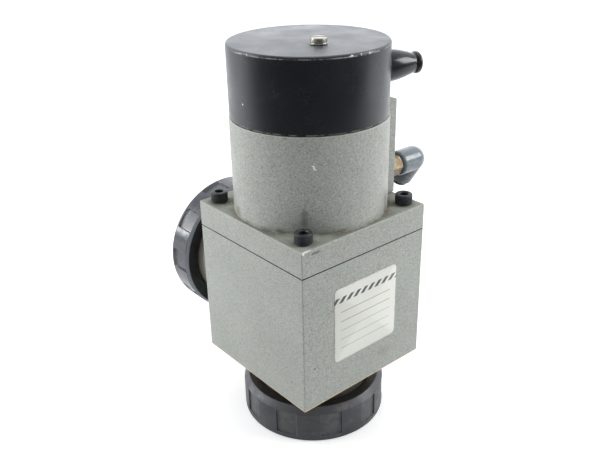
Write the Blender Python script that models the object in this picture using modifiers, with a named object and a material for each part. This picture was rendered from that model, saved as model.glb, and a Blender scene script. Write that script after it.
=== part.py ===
"""Vacuum angle valve, air operated and closed by a spring, with a captive ring nut on each port.

The valve stands on its bottom port. +Z is up, -X is the side port, +Y is the air supply side.
"""

import bpy
import bmesh
from math import cos, pi, radians, sin, sqrt
from mathutils import Matrix, Vector

MM = 0.001

# Clearances
GAP = 0.3 * MM
RUNNING_GAP = 0.3 * MM
CUT_PAST = 2.0 * MM

# Ports
PORT_FACE = 72.0 * MM
PORT_BORE_R = 20.0 * MM
NECK_WALL = 10.5 * MM
NECK_R = PORT_BORE_R + NECK_WALL
NECK_SEAT_DEPTH = 8.0 * MM
COLLAR_WIDTH = 1.9 * MM
COLLAR_R = NECK_R + COLLAR_WIDTH
COLLAR_THICK = 6.0 * MM
COLLAR_RIM = 6.4 * MM
COLLAR_RECESS_R = COLLAR_R - COLLAR_RIM
COLLAR_RECESS_DEPTH = 1.5 * MM

# Ring nuts
NUT_SOCKET_PLAY = 0.6 * MM
NUT_SOCKET_R = COLLAR_R + NUT_SOCKET_PLAY
NUT_WALL = 5.4 * MM
NUT_R = NUT_SOCKET_R + NUT_WALL
NUT_HOLE_PLAY = 0.5 * MM
NUT_RECESS_FROM_BEVEL = 0.3 * MM
NUT_RECESS_COUNT = 10
NUT_RECESS_ANGLE = radians(17.0)
NUT_RECESS_DEPTH = 0.9 * MM
BOTTOM_NUT_HEIGHT = 20.0 * MM
BOTTOM_NUT_WEB = 5.0 * MM
BOTTOM_NUT_BEVEL_WIDTH = 2.7 * MM
BOTTOM_NUT_BEVEL_HEIGHT = 3.4 * MM
BOTTOM_NUT_RIM = 2.7 * MM
BOTTOM_NUT_FIRST_RECESS = radians(-9.0)
SIDE_NUT_HEIGHT = 15.5 * MM
SIDE_NUT_WEB = 3.9 * MM
SIDE_NUT_BEVEL_WIDTH = 1.2 * MM
SIDE_NUT_BEVEL_HEIGHT = 1.5 * MM
SIDE_NUT_RIM = 1.4 * MM
SIDE_NUT_FIRST_RECESS = radians(19.7)
SIDE_NUT_PLAY = 0.6 * MM

# Valve seat, disc and chamber
SEAT_WIDTH = 4.0 * MM
SEAT_R = PORT_BORE_R + SEAT_WIDTH
SEAT_HEIGHT = 4.0 * MM
DISC_OVERHANG = 2.0 * MM
DISC_R = SEAT_R + DISC_OVERHANG
CHAMBER_CLEARANCE = 5.0 * MM
CHAMBER_R = DISC_R + CHAMBER_CLEARANCE
CHAMBER_FLOOR_RISE = 13.0 * MM

# Valve body block
CHAMBER_WALL = 9.0 * MM
BLOCK_SIDE = 2 * (CHAMBER_R + CHAMBER_WALL)
BLOCK_BELOW_NECK = 8.5 * MM
BLOCK_ABOVE_NECK = 3.6 * MM
BLOCK_UNDERSIDE_DROP = NECK_R + BLOCK_BELOW_NECK
BLOCK_HEIGHT = BLOCK_UNDERSIDE_DROP + NECK_R + BLOCK_ABOVE_NECK
BLOCK_EDGE = 0.6 * MM

# Bonnet: square plate and air cylinder
PLATE_THICK = 13.1 * MM
CYLINDER_SET_IN = 1.8 * MM
CYLINDER_R = BLOCK_SIDE / 2 - CYLINDER_SET_IN
CYLINDER_HEIGHT = 46.4 * MM
CYLINDER_WALL = 8.2 * MM
CYLINDER_BORE_R = CYLINDER_R - CYLINDER_WALL
CYLINDER_FLOOR = 4.5 * MM
SPIGOT_HEIGHT = 6.0 * MM

# Cover
COVER_SET_IN = 0.35 * MM
COVER_R = CYLINDER_R - COVER_SET_IN
COVER_WALL = 1.6 * MM
SPIGOT_PLAY = 0.35 * MM
SPIGOT_R = COVER_R - COVER_WALL - SPIGOT_PLAY
COVER_EDGE = 1.6 * MM

# Bonnet screws
SCREW_FROM_FACE = 7.4 * MM
SCREW_SHANK_R = 2.5 * MM
SCREW_HEAD_R = 4.25 * MM
SCREW_HEAD_HEIGHT = 5.0 * MM
SCREW_HEAD_EDGE = 0.4 * MM
SCREW_ENGAGED = 12.0 * MM
SOCKET_ACROSS_FLATS = 4.0 * MM
SOCKET_DEPTH = 2.6 * MM

# Bonnet seal
SEAL_FROM_CHAMBER = 4.4 * MM
SEAL_RING_R = CHAMBER_R + SEAL_FROM_CHAMBER
SEAL_WIRE_R = 1.3 * MM

# Valve disc's seal and stem
DISC_THICK = 8.0 * MM
DISC_SEAL_PROUD = 1.7 * MM
DISC_SEAL_THICK = 3.4 * MM
DISC_SEAL_FROM_SEAT_EDGE = 0.2 * MM
DISC_SEAL_WIDTH = 3.4 * MM
DISC_SEAL_OUTER_R = SEAT_R - DISC_SEAL_FROM_SEAT_EDGE
DISC_SEAL_INNER_R = DISC_SEAL_OUTER_R - DISC_SEAL_WIDTH
STEM_R = 5.0 * MM
STEM_END_R = 4.0 * MM
STEM_END_PAST_NUT = 1.0 * MM
NUT_ACROSS_FLATS = 13.0 * MM
NUT_THICK = 4.5 * MM

# Stem bush and seal in the bonnet
BUSH_R = 8.0 * MM
BUSH_LENGTH = 12.0 * MM
STEM_SEAL_LENGTH = 4.0 * MM

# Piston
PISTON_CLEAR_OF_FLOOR = 2.0 * MM
PISTON_THICK = 8.0 * MM
PISTON_SEAL_HEIGHT = 3.4 * MM
PISTON_SEAL_DEPTH = 2.6 * MM

# Return spring
SPRING_COIL_R = 14.0 * MM
SPRING_WIRE_R = 1.4 * MM
SPRING_TURNS = 3.5
SPRING_POINTS_PER_TURN = 12
SPRING_END_FLATTENING = 0.5

# Cylinder head and its circlip
HEAD_THICK = 8.0 * MM
HEAD_SPRING_RECESS = 5.5 * MM
HEAD_SPRING_RECESS_R = 17.0 * MM
HEAD_SEAL_HEIGHT = 2.6 * MM
HEAD_SEAL_DEPTH = 2.0 * MM
CIRCLIP_THICK = 1.2 * MM
CIRCLIP_WIDTH = 3.4 * MM
CIRCLIP_IN_GROOVE = 1.5 * MM
CIRCLIP_OPENING = radians(24.0)

# Cover screw and its pillar
PILLAR_X = 12.1 * MM
PILLAR_Y = -4.3 * MM
PILLAR_R = 4.0 * MM
COVER_SCREW_R = 2.0 * MM
COVER_SCREW_LENGTH = 10.0 * MM
COVER_SCREW_HEAD_R = 4.0 * MM
COVER_SCREW_HEAD_HEIGHT = 3.0 * MM
COVER_SCREW_DOME = 0.7 * MM
COVER_SCREW_SLOT_WIDTH = 1.2 * MM
COVER_SCREW_SLOT_DEPTH = 1.4 * MM
COVER_SCREW_SLOT_TURN = radians(62.0)

# Pilot valve under the cover
PILOT_LENGTH = 26.0 * MM
PILOT_WIDTH = 22.0 * MM
PILOT_FROM_BORE = 3.9 * MM
PILOT_HEIGHT = 8.0 * MM
COIL_R = 11.5 * MM
COIL_HEIGHT = 17.0 * MM
CORE_TUBE_R = 5.0 * MM
CORE_TUBE_WALL = 1.2 * MM
CORE_TUBE_PAST_COIL = 4.0 * MM
COVER_CEILING_ROOM = 4.5 * MM
CORE_NUT_THICK = 2.6 * MM
CORE_NUT_ACROSS_FLATS = 14.0 * MM
PLUNGER_LENGTH = 13.0 * MM
PLUNGER_SPRING_WIRE_R = 0.4 * MM
PLUNGER_SPRING_TURNS = 3.5
TERMINAL_X = 4.0 * MM
TERMINAL_Y = 19.5 * MM
TERMINAL_LENGTH = 14.0 * MM
TERMINAL_WIDTH = 8.0 * MM
TERMINAL_HEIGHT = 9.0 * MM
TERMINAL_WIRE_HOLE_R = 1.5 * MM

# Cable boot
BOOT_AZIMUTH = radians(72.0)
BOOT_RISE = 17.5 * MM
BOOT_BASE_R = 8.2 * MM
BOOT_NECK_R = 4.65 * MM
BOOT_BEAD_R = 5.4 * MM
BOOT_BORE_R = 2.4 * MM
BOOT_TAPER_LENGTH = 16.8 * MM
BOOT_BEAD_LENGTH = 3.4 * MM
BOOT_GROOVE_R = 5.5 * MM
BOOT_LIP_R = 7.2 * MM
BOOT_LIP_THICK = 1.6 * MM

# Side plate on the air supply side
SIDE_PLATE_WIDTH = 38.4 * MM
SIDE_PLATE_PAST_JOINT = 2.8 * MM
SIDE_SCREW_X = -9.0 * MM
SIDE_SCREW_INSET = 10.0 * MM
SIDE_SCREW_R = 2.0 * MM
SIDE_SCREW_LENGTH = 9.0 * MM
SIDE_SCREW_HEAD_R = 3.5 * MM
SIDE_SCREW_HEAD_HEIGHT = 2.4 * MM
SIDE_SCREW_SLOT_WIDTH = 1.0 * MM
SIDE_SCREW_SLOT_DEPTH = 1.1 * MM

# Air fitting and elbow
FITTING_X = 12.0 * MM
FITTING_RISE = 24.6 * MM
FITTING_ACROSS_FLATS = 10.0 * MM
FITTING_HEX_LENGTH = 8.4 * MM
FITTING_THREAD_R = 4.2 * MM
FITTING_THREAD_LENGTH = 6.0 * MM
FITTING_BORE_R = 3.2 * MM
ELBOW_R = 6.6 * MM
ELBOW_BARREL = 11.9 * MM
ELBOW_LEG = 14.0 * MM
ELBOW_LEG_ANGLE = radians(33.5)
ELBOW_STUB_R = 2.8 * MM
ELBOW_STUB_LENGTH = 6.0 * MM
ELBOW_PASSAGE_R = 1.6 * MM
ELBOW_SOCKET_R = 4.2 * MM
ELBOW_SOCKET_DEPTH = 11.0 * MM
COLLET_BORE_R = 3.05 * MM
COLLET_FLANGE_R = 5.4 * MM
COLLET_FLANGE_THICK = 1.2 * MM
COLLET_SLEEVE_LENGTH = 8.0 * MM
COLLET_TRAVEL = 1.0 * MM

# Label
LABEL_WIDTH = 41.5 * MM
LABEL_HEIGHT = 40.5 * MM
LABEL_DROP = 12.8 * MM
LABEL_THICK = 0.2 * MM
LABEL_CORNER_R = 2.6 * MM
LABEL_GAP = 0.05 * MM

# Facets round a circle
WIDE_FACETS = 40
INNER_FACETS = 24
SMALL_FACETS = 12

# Heights worked out from the sizes above
PORT_AXIS_Z = PORT_FACE
BLOCK_BOTTOM = PORT_AXIS_Z - BLOCK_UNDERSIDE_DROP
BLOCK_TOP = BLOCK_BOTTOM + BLOCK_HEIGHT
CHAMBER_FLOOR = BLOCK_BOTTOM + CHAMBER_FLOOR_RISE
SEAT_TOP = CHAMBER_FLOOR + SEAT_HEIGHT
PLATE_BOTTOM = BLOCK_TOP + GAP
PLATE_TOP = PLATE_BOTTOM + PLATE_THICK
JOINT = PLATE_TOP + CYLINDER_HEIGHT
SPIGOT_TOP = JOINT + SPIGOT_HEIGHT
BORE_FLOOR = PLATE_TOP + CYLINDER_FLOOR
COVER_BOTTOM = JOINT + GAP
PILOT_STACK = PILOT_HEIGHT + COIL_HEIGHT + CORE_TUBE_PAST_COIL
COVER_HEIGHT = PILOT_STACK - CIRCLIP_THICK + COVER_CEILING_ROOM + COVER_WALL
COVER_TOP = COVER_BOTTOM + COVER_HEIGHT
COVER_CEILING = COVER_TOP - COVER_WALL
CIRCLIP_BOTTOM = JOINT - CIRCLIP_THICK
HEAD_TOP = CIRCLIP_BOTTOM - GAP
HEAD_BOTTOM = HEAD_TOP - HEAD_THICK
DISC_BOTTOM = SEAT_TOP + GAP + DISC_SEAL_PROUD
DISC_TOP = DISC_BOTTOM + DISC_THICK
PISTON_BOTTOM = BORE_FLOOR + PISTON_CLEAR_OF_FLOOR
PISTON_TOP = PISTON_BOTTOM + PISTON_THICK
PISTON_R = CYLINDER_BORE_R - RUNNING_GAP
PILOT_END = sqrt(CYLINDER_BORE_R**2 - (PILOT_WIDTH / 2) ** 2) - PILOT_FROM_BORE
PILOT_X = PILOT_LENGTH / 2 - PILOT_END
FITTING_Z = PLATE_TOP - PLATE_THICK - GAP + FITTING_RISE
BOOT_Z = COVER_BOTTOM + BOOT_RISE
BLOCK_HALF = BLOCK_SIDE / 2
LABEL_FACE = BLOCK_HALF + LABEL_GAP + LABEL_THICK
SIDE_NUT_BACK = PORT_FACE - COLLAR_THICK - SIDE_NUT_PLAY - SIDE_NUT_WEB
SIDE_NUT_END = SIDE_NUT_BACK + SIDE_NUT_HEIGHT
ELBOW_CORNER = BLOCK_HALF + GAP + FITTING_HEX_LENGTH + GAP + ELBOW_BARREL
ELBOW_END = ELBOW_CORNER + ELBOW_R

# The valve's axis, placed so that the origin lies below the middle of the whole object
AXIS_X = (SIDE_NUT_END - LABEL_FACE) / 2
AXIS_Y = (BLOCK_HALF - ELBOW_END) / 2
AXIS = Vector((AXIS_X, AXIS_Y, 0))

OUT_OF_BOTTOM_PORT = Matrix.Rotation(pi, 4, "X")
OUT_OF_SIDE_PORT = Matrix.Rotation(-pi / 2, 4, "Y")
TOWARDS_AIR_SIDE = Matrix.Rotation(-pi / 2, 4, "X")


for old in list(bpy.data.objects):
    bpy.data.objects.remove(old, do_unlink=True)

PARTS = bpy.data.collections.new("vacuum_angle_valve")
bpy.context.scene.collection.children.link(PARTS)
CUTTERS = bpy.data.collections.new("cutters")
bpy.context.scene.collection.children.link(CUTTERS)
CUTTERS.hide_render = True


def finish(name, colour, roughness, metallic):
    """A plain material in the part's colour."""
    made = bpy.data.materials.new(name)
    made.use_nodes = True
    shader = made.node_tree.nodes["Principled BSDF"]
    shader.inputs["Base Color"].default_value = (*colour, 1)
    shader.inputs["Roughness"].default_value = roughness
    shader.inputs["Metallic"].default_value = metallic
    made.diffuse_color = (*colour, 1)
    return made


GREY_PAINT = finish("grey_hammer_paint", (0.37, 0.38, 0.34), 0.5, 0.1)
BLACK_PAINT = finish("black_cover_paint", (0.018, 0.019, 0.022), 0.35, 0.0)
BLACK_PLASTIC = finish("black_moulding", (0.03, 0.032, 0.035), 0.4, 0.0)
BLACK_STEEL = finish("black_oxide_steel", (0.03, 0.03, 0.032), 0.45, 0.6)
BARE_ALUMINIUM = finish("bare_aluminium", (0.62, 0.61, 0.58), 0.35, 0.9)
PLAIN_STEEL = finish("plain_steel", (0.5, 0.5, 0.5), 0.35, 0.9)
NICKEL = finish("nickel_plate", (0.6, 0.56, 0.48), 0.3, 0.9)
BRASS = finish("aged_brass", (0.5, 0.33, 0.14), 0.4, 0.9)
BRONZE = finish("bush_bronze", (0.45, 0.3, 0.16), 0.45, 0.9)
SEAL_RUBBER = finish("seal_rubber", (0.02, 0.02, 0.02), 0.7, 0.0)
BOOT_RUBBER = finish("boot_rubber", (0.015, 0.015, 0.017), 0.3, 0.0)
ELBOW_PLASTIC = finish("grey_blue_moulding", (0.16, 0.2, 0.23), 0.25, 0.0)
COIL_RESIN = finish("coil_resin", (0.05, 0.05, 0.055), 0.5, 0.0)
TERMINAL_PLASTIC = finish("pale_terminal_plastic", (0.6, 0.58, 0.5), 0.5, 0.0)
LABEL_FILM = finish("cream_label_film", (0.78, 0.76, 0.66), 0.4, 0.0)


def place(obj, matrix=Matrix.Identity(4), at=Vector((0, 0, 0))):
    """Turns an object, then moves it to a point given from the valve's axis at floor level."""
    obj.matrix_world = Matrix.Translation(AXIS + Vector(at)) @ matrix
    return obj


def new_object(name, mesh, material=None):
    """A part when it has a material, otherwise a cutter or a shape to join."""
    obj = bpy.data.objects.new(name, mesh)
    if material:
        mesh.materials.append(material)
        PARTS.objects.link(obj)
        mesh.shade_smooth()
        mesh.set_sharp_from_angle(angle=radians(35))
        return obj
    CUTTERS.objects.link(obj)
    obj.hide_render = True
    obj.display_type = "WIRE"
    return obj


def block(name, low, high, material=None, edge=0.0):
    """A box between two corners, with its edges rounded if edge is given."""
    shape = bmesh.new()
    bmesh.ops.create_cube(shape, size=1.0)
    low, high = Vector(low), Vector(high)
    bmesh.ops.scale(shape, vec=high - low, verts=shape.verts)
    bmesh.ops.translate(shape, vec=(low + high) / 2, verts=shape.verts)
    mesh = bpy.data.meshes.new(name)
    shape.to_mesh(mesh)
    shape.free()
    obj = new_object(name, mesh, material)
    if edge:
        rounding = obj.modifiers.new("rounded_edges", "BEVEL")
        rounding.width = edge
        rounding.segments = 2
    return obj


def rod(name, radius, bottom, top, material=None, facets=SMALL_FACETS):
    """An upright cylinder or, with six facets, a hexagon."""
    shape = bmesh.new()
    bmesh.ops.create_cone(
        shape, cap_ends=True, segments=facets, radius1=radius, radius2=radius, depth=top - bottom
    )
    bmesh.ops.translate(shape, vec=(0, 0, (top + bottom) / 2), verts=shape.verts)
    mesh = bpy.data.meshes.new(name)
    shape.to_mesh(mesh)
    shape.free()
    return new_object(name, mesh, material)


def hexagon(name, across_flats, bottom, top, material=None):
    return rod(name, across_flats / 2 / cos(pi / 6), bottom, top, material, facets=6)


def turned(name, profile, material=None, facets=WIDE_FACETS):
    """A turned shape from (radius, height) points that run down its outer side, top to bottom."""
    mesh = bpy.data.meshes.new(name)
    on_axis = profile[0][0] == 0
    points = [(r, 0, z) for r, z in profile]
    edges = [(i, i + 1) for i in range(len(points) - 1)]
    if not on_axis:
        edges.append((len(points) - 1, 0))
    mesh.from_pydata(points, edges, [])
    obj = new_object(name, mesh, material)
    screw = obj.modifiers.new("turned", "SCREW")
    screw.steps = facets
    screw.render_steps = facets
    screw.use_merge_vertices = True
    screw.merge_threshold = 0.00001
    screw.use_smooth_shade = True
    return obj


def tube(name, inner, outer, bottom, top, material=None, facets=INNER_FACETS):
    return turned(name, [(outer, top), (outer, bottom), (inner, bottom), (inner, top)], material, facets)


def cut(obj, cutter):
    """Takes the cutter's shape out of the object."""
    change = obj.modifiers.new("cut_" + cutter.name, "BOOLEAN")
    change.operation = "DIFFERENCE"
    change.solver = "EXACT"
    change.object = cutter


def join(obj, other):
    """Joins the other shape to the object."""
    change = obj.modifiers.new("join_" + other.name, "BOOLEAN")
    change.operation = "UNION"
    change.solver = "EXACT"
    change.object = other


def arc(radius, start, end, steps, centre=(0.0, 0.0)):
    """Points along an arc, both ends included."""
    angles = [start + (end - start) * i / steps for i in range(steps + 1)]
    return [(centre[0] + radius * cos(a), centre[1] + radius * sin(a)) for a in angles]


def flat_outline(name, outlines, bottom, top, material=None):
    """An upright plate, or several, from closed outlines seen from above."""
    curve = bpy.data.curves.new(name + "_outline", "CURVE")
    curve.dimensions = "2D"
    curve.fill_mode = "BOTH"
    curve.extrude = (top - bottom) / 2
    for outline in outlines:
        spline = curve.splines.new("POLY")
        spline.points.add(len(outline) - 1)
        for point, (x, y) in zip(spline.points, outline):
            point.co = (x, y, 0, 1)
        spline.use_cyclic_u = True
    return solid_from_curve(name, curve, Matrix.Translation((0, 0, (top + bottom) / 2)), material)


def solid_from_curve(name, curve, matrix, material=None):
    """A closed mesh from a curve, in place of the curve."""
    guide = bpy.data.objects.new(name + "_guide", curve)
    bpy.context.scene.collection.objects.link(guide)
    bpy.context.view_layer.update()
    graph = bpy.context.evaluated_depsgraph_get()
    mesh = bpy.data.meshes.new_from_object(guide.evaluated_get(graph))
    bpy.data.objects.remove(guide, do_unlink=True)
    mesh.name = name
    shape = bmesh.new()
    shape.from_mesh(mesh)
    bmesh.ops.remove_doubles(shape, verts=shape.verts, dist=0.000002)
    bmesh.ops.transform(shape, matrix=matrix, verts=shape.verts)
    bmesh.ops.recalc_face_normals(shape, faces=shape.faces)
    shape.to_mesh(mesh)
    shape.free()
    mesh.materials.clear()
    return new_object(name, mesh, material)


def coil_spring(name, coil_r, wire_r, turns, bottom, top, material):
    """A wire wound between two heights, its ends flat on their seats."""
    curve = bpy.data.curves.new(name + "_wire", "CURVE")
    curve.dimensions = "3D"
    curve.bevel_depth = wire_r
    curve.bevel_resolution = 2
    curve.use_fill_caps = True
    spline = curve.splines.new("POLY")
    count = int(turns * SPRING_POINTS_PER_TURN)
    spline.points.add(count)
    low = bottom + wire_r
    high = top - wire_r
    for i, point in enumerate(spline.points):
        share = i / count
        angle = 2 * pi * turns * share
        flattened = share - SPRING_END_FLATTENING * sin(2 * pi * share) / (2 * pi)
        rise = low + (high - low) * flattened
        point.co = (coil_r * cos(angle), coil_r * sin(angle), rise, 1)
    return solid_from_curve(name, curve, Matrix.Identity(4), material)


def screw_corners():
    half = BLOCK_HALF - SCREW_FROM_FACE
    return [(half, -half), (-half, -half), (-half, half), (half, half)]


def make_body():
    """The square block: chamber with a rebate for the bonnet seal, raised seat, port seats, screw holes."""
    body = block(
        "valve_body",
        (-BLOCK_HALF, -BLOCK_HALF, BLOCK_BOTTOM),
        (BLOCK_HALF, BLOCK_HALF, BLOCK_TOP),
        GREY_PAINT,
        BLOCK_EDGE,
    )
    place(body)
    neck_seat_r = NECK_R + GAP
    rebate_r = SEAL_RING_R + SEAL_WIRE_R + GAP
    chamber = turned(
        "chamber_cutter",
        [
            (0, BLOCK_TOP + CUT_PAST),
            (rebate_r, BLOCK_TOP + CUT_PAST),
            (rebate_r, BLOCK_TOP - 2 * SEAL_WIRE_R),
            (CHAMBER_R, BLOCK_TOP - 2 * SEAL_WIRE_R),
            (CHAMBER_R, CHAMBER_FLOOR),
            (SEAT_R, CHAMBER_FLOOR),
            (SEAT_R, SEAT_TOP),
            (PORT_BORE_R, SEAT_TOP),
            (PORT_BORE_R, BLOCK_BOTTOM + NECK_SEAT_DEPTH),
            (neck_seat_r, BLOCK_BOTTOM + NECK_SEAT_DEPTH),
            (neck_seat_r, BLOCK_BOTTOM - CUT_PAST),
            (0, BLOCK_BOTTOM - CUT_PAST),
        ],
        facets=INNER_FACETS,
    )
    cut(body, place(chamber))
    side_bore = turned(
        "side_bore_cutter",
        [
            (0, BLOCK_HALF + CUT_PAST),
            (neck_seat_r, BLOCK_HALF + CUT_PAST),
            (neck_seat_r, BLOCK_HALF - NECK_SEAT_DEPTH),
            (PORT_BORE_R, BLOCK_HALF - NECK_SEAT_DEPTH),
            (PORT_BORE_R, STEM_R),
            (0, STEM_R),
        ],
        facets=INNER_FACETS,
    )
    cut(body, place(side_bore, OUT_OF_SIDE_PORT, (0, 0, PORT_AXIS_Z)))
    for number, (x, y) in enumerate(screw_corners(), 1):
        hole = rod(
            f"body_screw_hole_{number}",
            SCREW_SHANK_R + GAP,
            BLOCK_TOP - SCREW_ENGAGED - CUT_PAST,
            BLOCK_TOP + CUT_PAST,
        )
        cut(body, place(hole, at=(x, y, 0)))


def make_neck(name, block_face, turn):
    """A turned port tube, from its seat in the block out to its flanged face."""
    inner_end = block_face - NECK_SEAT_DEPTH + GAP
    neck = turned(
        name,
        [
            (COLLAR_RECESS_R, PORT_FACE),
            (COLLAR_R, PORT_FACE),
            (COLLAR_R, PORT_FACE - COLLAR_THICK),
            (NECK_R, PORT_FACE - COLLAR_THICK),
            (NECK_R, inner_end),
            (PORT_BORE_R, inner_end),
            (PORT_BORE_R, PORT_FACE - COLLAR_RECESS_DEPTH),
            (COLLAR_RECESS_R, PORT_FACE - COLLAR_RECESS_DEPTH),
        ],
        BARE_ALUMINIUM,
        INNER_FACETS,
    )
    place(neck, turn, (0, 0, PORT_AXIS_Z))


def make_ring_nut(name, outer_end, turn, first_recess, height, web, bevel_width, bevel_height, rim):
    """A loose nut on a neck: a web behind the collar, a socket for the other pipe, ten grip recesses."""
    body_end = outer_end - height
    bevel_start = body_end + bevel_height
    hole_r = NECK_R + NUT_HOLE_PLAY
    nut = turned(
        name,
        [
            (NUT_SOCKET_R, outer_end),
            (NUT_R, outer_end),
            (NUT_R, bevel_start),
            (NUT_R - bevel_width, body_end),
            (hole_r, body_end),
            (hole_r, body_end + web),
            (NUT_SOCKET_R, body_end + web),
        ],
        BLACK_PLASTIC,
        WIDE_FACETS,
    )
    pitch = 2 * pi / NUT_RECESS_COUNT
    outlines = []
    for number in range(NUT_RECESS_COUNT):
        middle = first_recess + pitch * number
        start, end = middle - NUT_RECESS_ANGLE / 2, middle + NUT_RECESS_ANGLE / 2
        floor = arc(NUT_R - NUT_RECESS_DEPTH, start, end, 4)
        outside = arc(NUT_R + CUT_PAST, end, start, 4)
        outlines.append(floor + outside)
    recesses = flat_outline(
        name + "_recess_cutter", outlines, bevel_start + NUT_RECESS_FROM_BEVEL, outer_end - rim
    )
    cut(nut, place(recesses, turn, (0, 0, PORT_AXIS_Z)))
    place(nut, turn, (0, 0, PORT_AXIS_Z))


def make_bonnet():
    """The square plate and the air cylinder in one casting, bored for the piston and the stem bush."""
    bonnet = block(
        "bonnet",
        (-BLOCK_HALF, -BLOCK_HALF, PLATE_BOTTOM),
        (BLOCK_HALF, BLOCK_HALF, PLATE_TOP),
        GREY_PAINT,
        BLOCK_EDGE,
    )
    place(bonnet)
    cylinder = turned(
        "cylinder_shape",
        [
            (0, SPIGOT_TOP),
            (SPIGOT_R, SPIGOT_TOP),
            (SPIGOT_R, JOINT),
            (CYLINDER_R, JOINT),
            (CYLINDER_R, PLATE_TOP - PLATE_THICK / 2),
            (0, PLATE_TOP - PLATE_THICK / 2),
        ],
    )
    join(bonnet, place(cylinder))
    groove_r = CYLINDER_BORE_R + CIRCLIP_IN_GROOVE + GAP
    bore = turned(
        "cylinder_bore_cutter",
        [
            (0, SPIGOT_TOP + CUT_PAST),
            (CYLINDER_BORE_R, SPIGOT_TOP + CUT_PAST),
            (CYLINDER_BORE_R, JOINT + GAP),
            (groove_r, JOINT + GAP),
            (groove_r, CIRCLIP_BOTTOM - GAP),
            (CYLINDER_BORE_R, CIRCLIP_BOTTOM - GAP),
            (CYLINDER_BORE_R, BORE_FLOOR),
            (BUSH_R + GAP, BORE_FLOOR),
            (BUSH_R + GAP, PLATE_BOTTOM - CUT_PAST),
            (0, PLATE_BOTTOM - CUT_PAST),
        ],
        facets=INNER_FACETS,
    )
    cut(bonnet, place(bore))
    for number, (x, y) in enumerate(screw_corners(), 1):
        hole = rod(
            f"bonnet_screw_hole_{number}",
            SCREW_SHANK_R + GAP,
            PLATE_BOTTOM - CUT_PAST,
            PLATE_TOP + CUT_PAST,
        )
        cut(bonnet, place(hole, at=(x, y, 0)))
    port = rod(
        "air_port_cutter",
        FITTING_THREAD_R + GAP,
        BLOCK_HALF - FITTING_THREAD_LENGTH - GAP,
        BLOCK_HALF + CUT_PAST,
    )
    cut(bonnet, place(port, TOWARDS_AIR_SIDE, (FITTING_X, 0, FITTING_Z)))
    for number, z in enumerate(side_screw_heights(), 1):
        hole = rod(
            f"bonnet_side_hole_{number}",
            SIDE_SCREW_R + GAP,
            BLOCK_HALF - SIDE_SCREW_LENGTH - GAP,
            BLOCK_HALF + CUT_PAST,
        )
        cut(bonnet, place(hole, TOWARDS_AIR_SIDE, (SIDE_SCREW_X, 0, z)))


def make_bonnet_fasteners():
    """Seal ring in the block's rebate, and a socket head cap screw at each corner."""
    seal_middle = BLOCK_TOP - SEAL_WIRE_R + GAP / 2
    ring = [
        (SEAL_RING_R + SEAL_WIRE_R * cos(a), seal_middle + SEAL_WIRE_R * sin(a))
        for a in (pi / 2 - i * pi / 3 for i in range(6))
    ]
    place(turned("bonnet_seal", ring, SEAL_RUBBER, INNER_FACETS))
    under_head = PLATE_TOP + GAP
    head_top = under_head + SCREW_HEAD_HEIGHT
    for number, (x, y) in enumerate(screw_corners(), 1):
        screw = turned(
            f"bonnet_screw_{number}",
            [
                (0, head_top),
                (SCREW_HEAD_R - SCREW_HEAD_EDGE, head_top),
                (SCREW_HEAD_R, head_top - SCREW_HEAD_EDGE),
                (SCREW_HEAD_R, under_head),
                (SCREW_SHANK_R, under_head),
                (SCREW_SHANK_R, BLOCK_TOP - SCREW_ENGAGED),
                (0, BLOCK_TOP - SCREW_ENGAGED),
            ],
            BLACK_STEEL,
            SMALL_FACETS,
        )
        socket = hexagon(
            f"screw_socket_{number}", SOCKET_ACROSS_FLATS, head_top - SOCKET_DEPTH, head_top + CUT_PAST
        )
        cut(screw, place(socket, at=(x, y, 0)))
        place(screw, at=(x, y, 0))


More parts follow.
